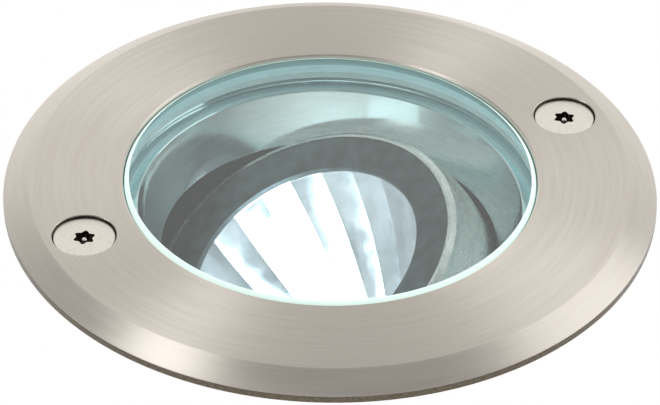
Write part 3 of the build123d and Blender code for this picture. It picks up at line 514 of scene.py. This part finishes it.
# Steatite is fired without a glaze, so it is off-white, hard and dry.
ceramic = matt_finish(
    "steatite_unglazed_white", ("#d9d5c8", "#e8e4d9"),
    roughness=0.6, grain_mm=0.3, depth_mm=0.02, blotch_mm=5.0,
)
# Extruded silicone is smooth and a little waxy.
lead_silicone = matt_finish(
    "silicone_insulation_white", ("#dcdad2", "#e9e7e1"),
    roughness=0.5, grain_mm=0.4, depth_mm=0.01, blotch_mm=5.0,
)

# %% Earth lead's two colours
stripe_pitch = 5.0
stripe_edge = (0.1, 0.3)


def earth_insulation():
    # Green with a yellow stripe that winds round the lead, as two-colour insulation has.
    material, tree, coords = new_material("insulation_green_yellow")
    parts = add(tree, "SeparateXYZ", {0: coords})
    total = add(tree, "Math", {0: parts.outputs["X"], 1: parts.outputs["Z"]}, operation="ADD")
    turn = add(tree, "Math", {0: total, 1: 2 * math.pi / (stripe_pitch * MM)}, operation="MULTIPLY")
    wave = add(tree, "Math", {0: turn}, operation="SINE")
    stripe = follow(tree, wave, ("#3f7d2c", "#d9c63a"), band=stripe_edge)
    return finish(material, stripe | {"Roughness": 0.45})


earth_cover = earth_insulation()

# %% [markdown]
# ## Turning a piece
# Nearly every visible piece is round, so it is made as on a lathe: a closed outline of radius and height
# is spun about the axis, its doubles are merged, and its sharp edges get a small bevel that catches the
# light. The CAD's own meshes are good enough inside, but a mirror or a glass rim shows every flat. Only
# edges that turn less than 12 degrees are shaded smooth, so that a wide flat face stays flat.

# %% Helpers for turned meshes
turn_steps = 256


def make_object(name, bm, materials=(), smooth_degrees=0):
    """An object with a bmesh's shape, smooth where its faces meet at less than an angle."""
    mesh = bpy.data.meshes.new(name)
    bm.to_mesh(mesh)
    bm.free()
    if smooth_degrees:
        mesh.polygons.foreach_set("use_smooth", [True] * len(mesh.polygons))
        mesh.set_sharp_from_angle(angle=math.radians(smooth_degrees))
    for material in materials:
        mesh.materials.append(material)
    made = bpy.data.objects.new(name, mesh)
    bpy.context.scene.collection.objects.link(made)
    return made


def make_piece(name, bm, materials, body, place=None, smooth_degrees=12):
    """A piece of the light that rides on a body of the frame."""
    if place is not None:
        bmesh.ops.transform(bm, matrix=place, verts=bm.verts)
    piece = make_object(name, bm, materials, smooth_degrees)
    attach(piece, body)
    print(name, "faces", len(piece.data.polygons))
    return piece


def turned(outline, steps=turn_steps, centre_x=0, centre_y=0):
    """A closed mesh: an outline of (radius, height) in millimetres, spun about an upright axis."""
    bm = bmesh.new()
    points = [bm.verts.new((radius * MM, 0, height * MM)) for radius, height in outline]
    for first, second in zip(points, points[1:] + points[:1]):
        if first.co.x > 0 or second.co.x > 0:
            bm.edges.new((first, second))
    bmesh.ops.spin(
        bm,
        geom=bm.verts[:] + bm.edges[:],
        cent=(0, 0, 0),
        axis=(0, 0, 1),
        dvec=(0, 0, 0),
        angle=2 * math.pi,
        steps=steps,
        use_merge=True,
    )
    bmesh.ops.remove_doubles(bm, verts=bm.verts, dist=1e-7)
    bmesh.ops.dissolve_degenerate(bm, edges=bm.edges, dist=1e-8)
    bmesh.ops.recalc_face_normals(bm, faces=bm.faces)
    bmesh.ops.translate(bm, vec=(centre_x * MM, centre_y * MM, 0), verts=bm.verts)
    return bm


def soften(bm, width_mm, degrees=30):
    """Bevels every edge that turns by more than the given angle."""
    least = math.radians(degrees)
    sharp = [edge for edge in bm.edges if len(edge.link_faces) == 2 and edge.calc_face_angle() > least]
    bmesh.ops.bevel(
        bm,
        geom=sharp,
        offset=width_mm * MM,
        segments=2,
        profile=0.5,
        affect="EDGES",
        material=-1,
        clamp_overlap=True,
    )
    return bm


def carve(bm, cutter, operation="DIFFERENCE"):
    """Takes a cutter's shape away from a mesh, or joins it on, with an exact boolean."""
    body, tool = (make_object("carving", shape) for shape in (bm, cutter))
    cut = body.modifiers.new("cut", "BOOLEAN")
    cut.operation = operation
    cut.solver = "EXACT"
    cut.object = tool
    bpy.context.view_layer.update()
    done = body.evaluated_get(bpy.context.evaluated_depsgraph_get()).to_mesh()
    result = bmesh.new()
    result.from_mesh(done)
    bpy.data.objects.remove(body)
    bpy.data.objects.remove(tool)
    return result


print("steps in a turn", turn_steps)

# %% [markdown]
# ## The ring
# The ring is turned from plate: flat on top, with a bevel that runs down to a thin outer edge. Its two
# screw holes are cut last, as in the workshop, with a cutter that has the screw's own shape plus a small
# gap. A boolean is the natural tool for that. The cutter's flared mouth leaves a fine broken edge. The
# brush reaches neither the mouths nor the outer wall, and their faces get a darker steel that paints the
# shade in them.

# %% Ring with its screw holes
opening_r = 34.9
opening_break = 0.3
bevel_width = 4.3
bevel_drop = 2.2
screw_circle_r = 44.0
head_sunk = 0.5
mouth_r = 5.35
mouth_flare = 0.22
mouth_flare_start = 0.12
hole_r = 2.8
past_top = 0.1
past_foot = 1.0
mouth_margin = 0.05
wall_margin = 0.2
faces_up = 0.9
faces_out = 0.3

mouth_z = ring_top - head_sunk
mouth_outline = [
    (0, -past_foot),
    (hole_r, -past_foot),
    (hole_r, mouth_z - (mouth_r - hole_r)),
    (mouth_r, mouth_z),
    (mouth_r, ring_top - mouth_flare_start),
    (mouth_r + mouth_flare, ring_top + past_top),
    (0, ring_top + past_top),
]
ring = soften(turned([
    (opening_r, 0),
    (ring_r, 0),
    (ring_r, ring_top - bevel_drop),
    (ring_r - bevel_width, ring_top),
    (opening_r + opening_break, ring_top),
    (opening_r, ring_top - opening_break),
], steps=360), width_mm=0.12, degrees=20)
for side_sign in (-1, 1):
    ring = carve(ring, turned(mouth_outline, steps=96, centre_x=side_sign * screw_circle_r))
# Faces in the screw mouths and on the outer wall get the darker steel, which paints the shade there.
for face in ring.faces:
    centre = face.calc_center_median() / MM
    from_screw = math.hypot(abs(centre.x) - screw_circle_r, centre.y)
    in_mouth = from_screw < mouth_r + mouth_margin and face.normal.z < faces_up
    on_wall = abs(face.normal.z) < faces_out and math.hypot(centre.x, centre.y) > ring_r - wall_margin
    face.material_index = 1 if in_mouth or on_wall else 0
ring_piece = make_piece("ring_plate", ring, (ring_steel, painted_shade_steel), "fixture")
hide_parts("bezel_ring")

# %% [markdown]
# ## The security screws
# Each screw has a flat countersunk head with a six-lobe recess and a pin in its middle, so that only a
# matching driver turns it. The head is turned, the recess is a circle whose radius swells six times,
# pushed down as a cutter, and the pin is a small turned peg that stands on the recess floor.

# %% Cutter for the six-lobe recess
recess_middle_r = 1.59
recess_swell = 0.24
recess_depth = 1.9
recess_lobes = 6


def lobed_cutter(centre_x, top, bottom):
    """An upright prism with round lobes."""
    bm = bmesh.new()
    bmesh.ops.create_circle(bm, cap_ends=True, segments=96, radius=recess_middle_r * MM)
    for vert in bm.verts:
        angle = math.atan2(vert.co.y, vert.co.x)
        vert.co *= 1 + recess_swell / recess_middle_r * math.cos(recess_lobes * angle)
    bmesh.ops.translate(bm, vec=(centre_x * MM, 0, top * MM), verts=bm.verts)
    pushed = bmesh.ops.extrude_face_region(bm, geom=bm.faces[:])
    moved = [item for item in pushed["geom"] if isinstance(item, bmesh.types.BMVert)]
    bmesh.ops.translate(bm, vec=(0, 0, (bottom - top) * MM), verts=moved)
    bmesh.ops.recalc_face_normals(bm, faces=bm.faces)
    return bm


print("recess across its lobes", round(2 * (recess_middle_r + recess_swell), 2), "mm")

# %% Screws with their recess and pin
head_r = 5.1
head_edge = 0.2
shank_r = 2.5
screw_length = 16.0
tip_chamfer = 1.2
recess_margin = 0.15
pin_r = 0.45
pin_taper = 0.7
pin_down = 0.25
pin_chamfer = 0.15
past_recess = 0.2

head_top = ring_top - head_sunk
tip_z = head_top - screw_length
recess_floor = head_top - recess_depth
screw_outline = [
    (0, head_top),
    (head_r, head_top),
    (head_r, head_top - head_edge),
    (shank_r, head_top - head_edge - (head_r - shank_r)),
    (shank_r, tip_z + tip_chamfer),
    (shank_r - tip_chamfer, tip_z),
    (0, tip_z),
]
pin_outline = [
    (0, head_top - pin_down),
    (pin_r * pin_taper, head_top - pin_down),
    (pin_r, head_top - pin_down - pin_chamfer),
    (pin_r, recess_floor - past_recess),
    (0, recess_floor - past_recess),
]


def security_screw(centre_x):
    """A screw with its recess carved, its pin added, and the recess marked for the darker steel of painted
    shade.
    """
    head = soften(turned(screw_outline, steps=96, centre_x=centre_x), width_mm=0.08, degrees=40)
    screw = carve(head, lobed_cutter(centre_x, head_top + past_recess, recess_floor))
    pin = turned(pin_outline, steps=32, centre_x=centre_x)
    pin_mesh = bpy.data.meshes.new("pin")
    pin.to_mesh(pin_mesh)
    pin.free()
    screw.from_mesh(pin_mesh)
    # Faces inside the recess get the darker steel, which paints the shade there.
    for face in screw.faces:
        centre = face.calc_center_median() / MM
        from_axis = math.hypot(centre.x - centre_x, centre.y)
        within = pin_r < from_axis < recess_middle_r + recess_swell
        face.material_index = 1 if within and centre.z < head_top - recess_margin else 0
    return screw


for name, side_sign in (("ring_screw_left", -1), ("ring_screw_right", 1)):
    screw = security_screw(side_sign * screw_circle_r)
    piece = make_piece(name, screw, (screw_steel, painted_shade_steel), "fixture")
    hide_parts("bezel_screws")

# %% [markdown]
# ## The glass
# The disc is stepped, so that its flange is held under the ring while its top lies flush with it. Its
# two flat faces are polished, and its rim, step and arris are ground. It stands a hair above its seal,
# because two faces in exactly the same place render black.

# %% Glass disc
glass_r = 38.4
glass_top_r = 34.7
glass_step = -0.8
seat_gap = 0.03
flat_margin = 0.01
lies_flat = 0.99

glass_foot = glass_low + seat_gap
disc = soften(turned([
    (0, glass_foot),
    (glass_r - arris, glass_foot),
    (glass_r, glass_low + arris),
    (glass_r, glass_step),
    (glass_top_r, glass_step),
    (glass_top_r, ring_top - arris),
    (glass_top_r - arris, ring_top),
    (0, ring_top),
], steps=360), width_mm=0.12)
for face in disc.faces:
    height = face.calc_center_median().z / MM
    outermost = height > ring_top - flat_margin or height < glass_foot + seat_gap
    face.material_index = 0 if outermost and abs(face.normal.z) > lies_flat else 1
glass_piece = make_piece("glass_disc", disc, (disc_glass, disc_edge_painted_glow), "fixture")
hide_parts("glass_lens")

# %% [markdown]
# ## The polished well
# Between the glass and the lamp sits a spun aluminium liner: an upright skirt, a flat rim and a cone that
# ends just outside the tilting cup. It is a thin shell, so its outline goes down one face and back up
# the other.

# %% Well liner
sheet = 0.6
skirt_r = 35.6
skirt_top = -5.7
rim_z = -6.9
cone_r = 32.6
cone_foot_r = 28.66
cone_foot_z = -15.4

liner = turned([
    (skirt_r, skirt_top),
    (skirt_r + sheet, skirt_top),
    (skirt_r + sheet, rim_z - sheet),
    (cone_r + sheet, rim_z - sheet),
    (cone_foot_r + sheet, cone_foot_z),
    (cone_foot_r, cone_foot_z),
    (cone_r, rim_z),
    (skirt_r, rim_z),
])
liner = soften(liner, width_mm=0.15)
liner_piece = make_piece("well_liner", liner, (well_metal,), "fixture")
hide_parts("reflector_liner")

# %% [markdown]
# ## The tilting lamp
# The lamp sits in a turned cup and is held by a dark ring that is dished towards the lamp. Both are
# drawn upright, as heights above the tilt axis, and are then leaned over by the rest angle. They ride on
# the tilting body, so they swing with it. The cup's outside is a ball about the tilt axis, so the gap
# round it stays the same as it tilts. Round its mouth a narrow lip is turned off that ball. Its two flat
# sides, for the washers, are cut with wide discs.

# %% Cup
cup_rim_h = 12.7
cup_lip_r = 27.0
cup_bore_r = 26.5
cup_bore_bottom = -11.4
ledge_r = 23.9
ledge_top = 7.9
ledge_thick = 1.2
throat_r = 15.0
throat_wall = 1.6
throat_bottom = -22.0
ball_r_at_rim = 27.6
ball_r = math.hypot(ball_r_at_rim, cup_rim_h)
ball_top = 12.1
ball_bottom = -12.0
ball_steps = 32

ball_heights = [ball_top + (ball_bottom - ball_top) * step / ball_steps for step in range(ball_steps + 1)]
cup = turned([
    (cup_bore_r, cup_rim_h),
    (cup_lip_r, cup_rim_h),
    *[(math.sqrt(ball_r ** 2 - height ** 2), height) for height in ball_heights],
    (throat_r + throat_wall, throat_bottom),
    (throat_r, throat_bottom),
    (cup_bore_r, cup_bore_bottom),
    (cup_bore_r, ledge_top - ledge_thick),
    (ledge_r, ledge_top - ledge_thick),
    (ledge_r, ledge_top),
    (cup_bore_r, ledge_top),
])
print("cup faces before its vents", len(cup.faces))

# %% Cup's vents, flats and pivot bosses
vent_count = 8
vent_r = 2.2
vent_circle_r = 20.75
vent_foot = -24.0
flat_y = 28.3
flat_cut_r = 13.0
flat_cut_y = 31.0
boss_y = 24.9
boss_r = 5.0
pivot_hole_r = 2.03
past_boss = 1.0

for index in range(vent_count):
    angle = 2 * math.pi * index / vent_count
    cup = carve(cup, turned(
        [(0, vent_foot), (vent_r, vent_foot), (vent_r, ball_bottom), (0, ball_bottom)],
        steps=32,
        centre_x=vent_circle_r * math.cos(angle),
        centre_y=vent_circle_r * math.sin(angle),
    ))
for side_sign in (-1, 1):
    outwards = Matrix.Rotation(-side_sign * math.pi / 2, 3, "X")
    for operation, radius, start, stop in (
        ("DIFFERENCE", flat_cut_r, flat_y, flat_cut_y),
        ("UNION", boss_r, boss_y, flat_y),
        ("DIFFERENCE", pivot_hole_r, boss_y - past_boss, flat_y + past_boss),
    ):
        tool = turned([(0, start), (radius, start), (radius, stop), (0, stop)], steps=64)
        bmesh.ops.rotate(tool, cent=(0, 0, 0), matrix=outwards, verts=tool.verts)
        cup = carve(cup, tool, operation)
cup_piece = make_piece("lamp_cup_turned", cup, (cup_metal,), "lamp_head", head_place)
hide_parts("lamp_cup")

# %% Retaining ring
dark_inner_r = 20.48
dark_outer_r = 26.44
dark_outer_h = 12.6
dish = 0.95
dark_plate = 1.2
dark_skirt = 1.24

retainer = soften(turned([
    (dark_inner_r, dark_outer_h - dish),
    (dark_outer_r, dark_outer_h),
    (dark_outer_r, ledge_top),
    (dark_outer_r - dark_skirt, ledge_top),
    (dark_outer_r - dark_skirt, dark_outer_h - dish - dark_plate),
    (dark_inner_r, dark_outer_h - dish - dark_plate),
]), width_mm=0.12)
retainer_piece = make_piece(
    "retaining_ring_dark", retainer, (dark_metal,), "lamp_head", head_place
)
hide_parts("retaining_ring")

# %% [markdown]
# ## The lamp
# The lamp is a reflector lamp: a pressed bowl with a mirror inside, a clear front glass and a quartz
# capsule on its axis. The bowl's mirror has straight flutes, so the spin uses few steps and keeps the
# edges between them sharp. That is what breaks the light into the streaks that the photograph shows.

# %% Bowl
bowl_rim_r = 22.4
bowl_neck_r = 11.8
bowl_rim_h = 7.9
bowl_neck_h = -19.6
bowl_wall = 1.2
bowl_swell = 1.6
bowl_points = 16
bowl_lip_r = 24.9
glass_seat_r = 23.7
glass_seat_h = 9.0
lamp_face_h = 10.4
flutes = 24


def bowl_line(outside):
    """Points down the bowl's curve, from rim to neck: a straight taper that swells in its middle."""
    points = []
    for index in range(bowl_points + 1):
        down = index / bowl_points
        radius = bowl_rim_r + (bowl_neck_r - bowl_rim_r) * down + bowl_swell * math.sin(math.pi * down)
        points.append((radius + outside, bowl_rim_h + (bowl_neck_h - bowl_rim_h) * down))
    return points


bowl = turned([
    (bowl_lip_r, lamp_face_h),
    (bowl_lip_r, bowl_rim_h),
    *bowl_line(bowl_wall),
    *bowl_line(0)[::-1],
    (bowl_rim_r, glass_seat_h),
    (glass_seat_r, glass_seat_h),
    (glass_seat_r, lamp_face_h),
], steps=flutes)
bowl_piece = make_piece(
    "lamp_bowl_fluted", bowl, (bowl_mirror,), "lamp_head", head_place, smooth_degrees=5
)
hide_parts("lamp_reflector")

# %% Front glass and capsule
cover_r = 23.64
capsule_r = 4.6
capsule_foot_h = -18.2
dome_h = -5.8
dome_points = 15

cover = soften(turned(
    [(0, glass_seat_h), (cover_r, glass_seat_h), (cover_r, lamp_face_h), (0, lamp_face_h)], steps=192
), width_mm=0.25)
cover_piece = make_piece("lamp_cover_glass", cover, (lamp_glass,), "lamp_head", head_place)
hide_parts("lamp_front_glass")

dome_angles = [math.pi / 2 * step / dome_points for step in range(dome_points)]
capsule = turned([
    (0, capsule_foot_h),
    (capsule_r, capsule_foot_h),
    *[(capsule_r * math.cos(angle), dome_h + capsule_r * math.sin(angle)) for angle in dome_angles],
    (0, dome_h + capsule_r),
], steps=64)
capsule_piece = make_piece(
    "lamp_capsule_lit", capsule, (capsule_glass,), "lamp_head", head_place
)
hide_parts("lamp_capsule")

# %% [markdown]
# ## The lamp's leads
# Two silicone-insulated leads run from the lampholder's rear to the terminal block. They hang in a loose
# curve, so each is a NURBS curve through a few control points, turned into a tube. One end is at the
# fixed part and the other at the lamp, which swings; the tube rides on neither body.

# %% Tube round a curve
curve_order = 3


def tube(name, points, radius_mm):
    """A tube's mesh round a NURBS curve, and the points of its centre line."""
    curve = bpy.data.curves.new(name, "CURVE")
    curve.dimensions = "3D"
    spline = curve.splines.new("NURBS")
    spline.points.add(len(points) - 1)
    for control, point in zip(spline.points, points):
        control.co = (*[value * MM for value in point], 1)
    spline.order_u = curve_order
    spline.use_endpoint_u = True
    spline.resolution_u = 16
    holder = bpy.data.objects.new(name + "_curve", curve)
    bpy.context.scene.collection.objects.link(holder)
    line = bpy.data.meshes.new_from_object(holder.evaluated_get(bpy.context.evaluated_depsgraph_get()))
    curve.bevel_depth = radius_mm * MM
    curve.bevel_resolution = 5
    curve.use_fill_caps = True
    bpy.context.view_layer.update()
    skin = bpy.data.meshes.new_from_object(holder.evaluated_get(bpy.context.evaluated_depsgraph_get()))
    bpy.data.objects.remove(holder)
    bm = bmesh.new()
    bm.from_mesh(skin)
    bmesh.ops.remove_doubles(bm, verts=bm.verts, dist=1e-7)
    bmesh.ops.recalc_face_normals(bm, faces=bm.faces)
    return bm, [list(vert.co) for vert in line.vertices]


print("tubes are NURBS of order", curve_order)

# %% Leads
lead_r = 1.0
lead_points = {
    "lamp_lead_front": [
        (18.99, -3, -70.98), (21.68, -3, -77.01), (19.88, -2.7, -84.12),
        (14.18, -1.95, -88.67), (0.5, 0, -88.67), (-11, 0, -88.67),
    ],
    "lamp_lead_back": [
        (18.99, 3, -70.98), (21.68, 3, -77.01), (19.88, 3.7, -84.12),
        (14.18, 5.45, -88.67), (0.5, 10, -88.67), (-11, 10, -88.67),
    ],
}
for name, points in lead_points.items():
    lead, path = tube(name, points, lead_r)
    piece = make_object(name, lead, (lead_silicone,), smooth_degrees=40)
    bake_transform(piece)
    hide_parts("lamp_leads")

# %% [markdown]
# ## Finishes on the CAD's own parts
# The remaining parts have the right shape already, so they keep their CAD mesh and only get a finish.
# Each is listed by what it is made of.

# %% Dress the CAD nodes
node_finishes = (
    (rubber, ("bezel_gasket", "gland_washer", "gland_seal")),
    (gasket_painted_glow, ("glass_gasket",)),
    (powder_coat, ("housing",)),
    (sleeve_plastic, ("ground_sleeve",)),
    (zinc, (
        "yoke_bracket", "yoke_screws", "pivot_screws", "friction_washers",
        "terminal_screws", "terminal_fixing_screws", "earth_screw",
    )),
    (ceramic, ("lamp_base", "lampholder")),
    (nickel, ("lamp_pins", "holder_contacts", "earth_ring_terminal")),
    (block_nylon, ("terminal_block",)),
    (brass, ("terminal_inserts",)),
    (earth_cover, ("earth_lead",)),
    (gland_nylon, ("gland_body", "gland_nut")),
)
for material, names in node_finishes:
    for name in names:
        for material_slot in frame["nodes"][name].material_slots:
            material_slot.material = material
print("dressed CAD nodes", sum(len(names) for material, names in node_finishes))

# %% [markdown]
# ## Floor and ground
# The light stands on a wide pale floor, which takes its shadow. In use only the ring shows, because the
# paving hides the rest. So a white panel lies round the ring at ground level. Mirror reflections see it
# from above, and so does a camera that looks from where the photographer stood. From anywhere else the
# panel is clear, and the whole light shows. It never casts shade.

# %% Floor
floor_half = 1500.0

floor_material = new_material("floor_pale_matt")[0]
finish(floor_material, {"Base Color": linear("#eeeeec"), "Roughness": 0.9})
floor = bmesh.new()
bmesh.ops.create_grid(floor, x_segments=1, y_segments=1, size=floor_half * MM)
bmesh.ops.translate(floor, vec=(0, 0, sleeve_bottom * MM), verts=floor.verts)
make_object("floor", floor, (floor_material,))
print("floor at", round(sleeve_bottom, 1), "mm")

# %% Material of the ground panel
photographer_cone = math.radians(10)
ground_glare = 1.55


def ground_white():
    material, tree = new_material("ground_white_for_camera")[:2]
    rays = add(tree, "LightPath").outputs
    surface = add(tree, "NewGeometry").outputs
    aligned = add(tree, "VectorMath", {0: surface["Incoming"], 1: -forward}, operation="DOT_PRODUCT")
    in_cone = add(tree, "Math", {0: aligned, 1: math.cos(photographer_cone)}, operation="GREATER_THAN")
    seen = add(tree, "Math", {0: rays["Is Camera Ray"], 1: in_cone}, operation="MULTIPLY")
    for kind in ("Is Glossy Ray", "Is Transmission Ray"):
        seen = add(tree, "Math", {0: seen, 1: rays[kind]}, operation="MAXIMUM")
    from_above = add(tree, "Math", {0: 1.0, 1: surface["Backfacing"]}, operation="SUBTRACT")
    shown = add(tree, "Math", {0: seen, 1: from_above}, operation="MULTIPLY")
    glare = add(tree, "MapRange", {"Value": rays["Is Glossy Ray"], "To Min": 1.0, "To Max": ground_glare})
    white = add(tree, "Emission", {"Color": (1, 1, 1, 1), "Strength": glare})
    mixed = add(tree, "MixShader", {0: shown, 1: add(tree, "BsdfTransparent"), 2: white})
    add(tree, "OutputMaterial", {"Surface": mixed})
    return material


panel_material = ground_white()
print("panel shows within", round(math.degrees(photographer_cone)), "degrees of the photographer")

# %% Ground panel
panel_half = 600.0
panel_hole_r = 54.0
panel_z = -0.05

panel = bmesh.new()
bmesh.ops.create_circle(panel, segments=96, radius=panel_hole_r * MM)
corners = [
    panel.verts.new((right * across + level * along) * panel_half * MM)
    for across, along in ((-1, -1), (1, -1), (1, 1), (-1, 1))
]
for first, second in zip(corners, corners[1:] + corners[:1]):
    panel.edges.new((first, second))
bmesh.ops.triangle_fill(panel, use_beauty=True, edges=panel.edges[:])
bmesh.ops.translate(panel, vec=(0, 0, panel_z * MM), verts=panel.verts)
for face in panel.faces:
    if face.normal.z < 0:
        face.normal_flip()
print("panel faces", len(panel.faces))
make_object("ground_panel", panel, (panel_material,))

# %% [markdown]
# ## Light
# A studio sky lights the whole part, and four things shape it. It is bright ahead of the camera and dim
# behind it, so that the ring's far bevel comes out pale and its near bevel dark. A glow lies along the
# horizon. Behind the camera that glow is a bright low window, which the well's far wall mirrors. And the
# sky fades to both sides, which keeps the ring's left and right from standing out.

# %% World
sky_ahead = 1.35
sky_behind = 0.12
full_sky_depth = 0.7
horizon_glow = 0.75
glow_heights = (0.15, 0.45)
window_glow = 1.3
window_depths = (-0.6, 0.2)
side_loss = 0.82

world = bpy.data.worlds.new("studio_sky")
bpy.context.scene.world = world
world.use_nodes = True
tree = world.node_tree
tree.nodes.clear()
direction = add(tree, "TexCoord").outputs["Generated"]
depth = add(tree, "VectorMath", {0: direction, 1: ahead}, operation="DOT_PRODUCT")
sideways = add(tree, "VectorMath", {0: direction, 1: right}, operation="DOT_PRODUCT")
rise = add(tree, "SeparateXYZ", {0: direction}).outputs["Z"]
fade = add(tree, "MapRange", {
    "Value": depth, "From Min": -1.0, "From Max": full_sky_depth, "To Min": sky_behind, "To Max": sky_ahead,
})
glow = add(tree, "MapRange", {
    "Value": rise, "From Min": glow_heights[0], "From Max": glow_heights[1],
    "To Min": horizon_glow, "To Max": 0,
})
behind = add(tree, "MapRange", {
    "Value": depth, "From Min": window_depths[0], "From Max": window_depths[1],
    "To Min": window_glow, "To Max": 0,
})
aside = add(tree, "Math", {0: sideways, 1: sideways}, operation="MULTIPLY")
kept = add(tree, "MapRange", {"Value": aside, "To Min": 1, "To Max": 1 - side_loss})
window = add(tree, "Math", {0: behind, 1: glow}, operation="MULTIPLY")
strength = add(tree, "Math", {0: fade, 1: glow}, operation="ADD")
strength = add(tree, "Math", {0: strength, 1: sky_ahead}, operation="MINIMUM")
strength = add(tree, "Math", {0: strength, 1: window}, operation="ADD")
strength = add(tree, "Math", {0: strength, 1: kept}, operation="MULTIPLY")
sky = add(tree, "Background", {"Color": linear("#fffdfa"), "Strength": strength})
backdrop = add(tree, "Background", {"Color": (1, 1, 1, 1), "Strength": 1.0})
camera_sees = add(tree, "LightPath").outputs["Is Camera Ray"]
add(tree, "OutputWorld", {"Surface": add(tree, "MixShader", {0: camera_sees, 1: sky, 2: backdrop})})
print("world nodes", len(tree.nodes))

# %% [markdown]
# Two soft boxes, high on the left and lower on the right, draw the crossed wedges on the ring and light
# the well. The right one is wide, because the well mirrors it, and a small one would show as a hard
# white square.

# %% Soft boxes
box_distance = 0.9


def soft_box(name, bearing_degrees, height_degrees, width, power):
    """An area light that looks at the ring, with its bearing counted from the right to straight ahead."""
    bearing = math.radians(bearing_degrees)
    height = math.radians(height_degrees)
    heading = right * math.cos(bearing) + level * math.sin(bearing)
    towards = heading * math.cos(height) + Vector((0, 0, math.sin(height)))
    light = bpy.data.lights.new(name, "AREA")
    light.shape = "DISK"
    light.size = width
    light.energy = power
    lamp = bpy.data.objects.new(name, light)
    lamp.location = towards * box_distance
    lamp.rotation_euler = towards.to_track_quat("Z", "Y").to_euler()
    bpy.context.scene.collection.objects.link(lamp)
    print(name, "at", [round(value, 2) for value in lamp.location])


soft_box("soft_box_left", bearing_degrees=187, height_degrees=60, width=0.30, power=1.6)
soft_box("soft_box_right", bearing_degrees=16, height_degrees=40, width=0.75, power=2.3)
bpy.context.scene.view_settings.view_transform = "Standard"
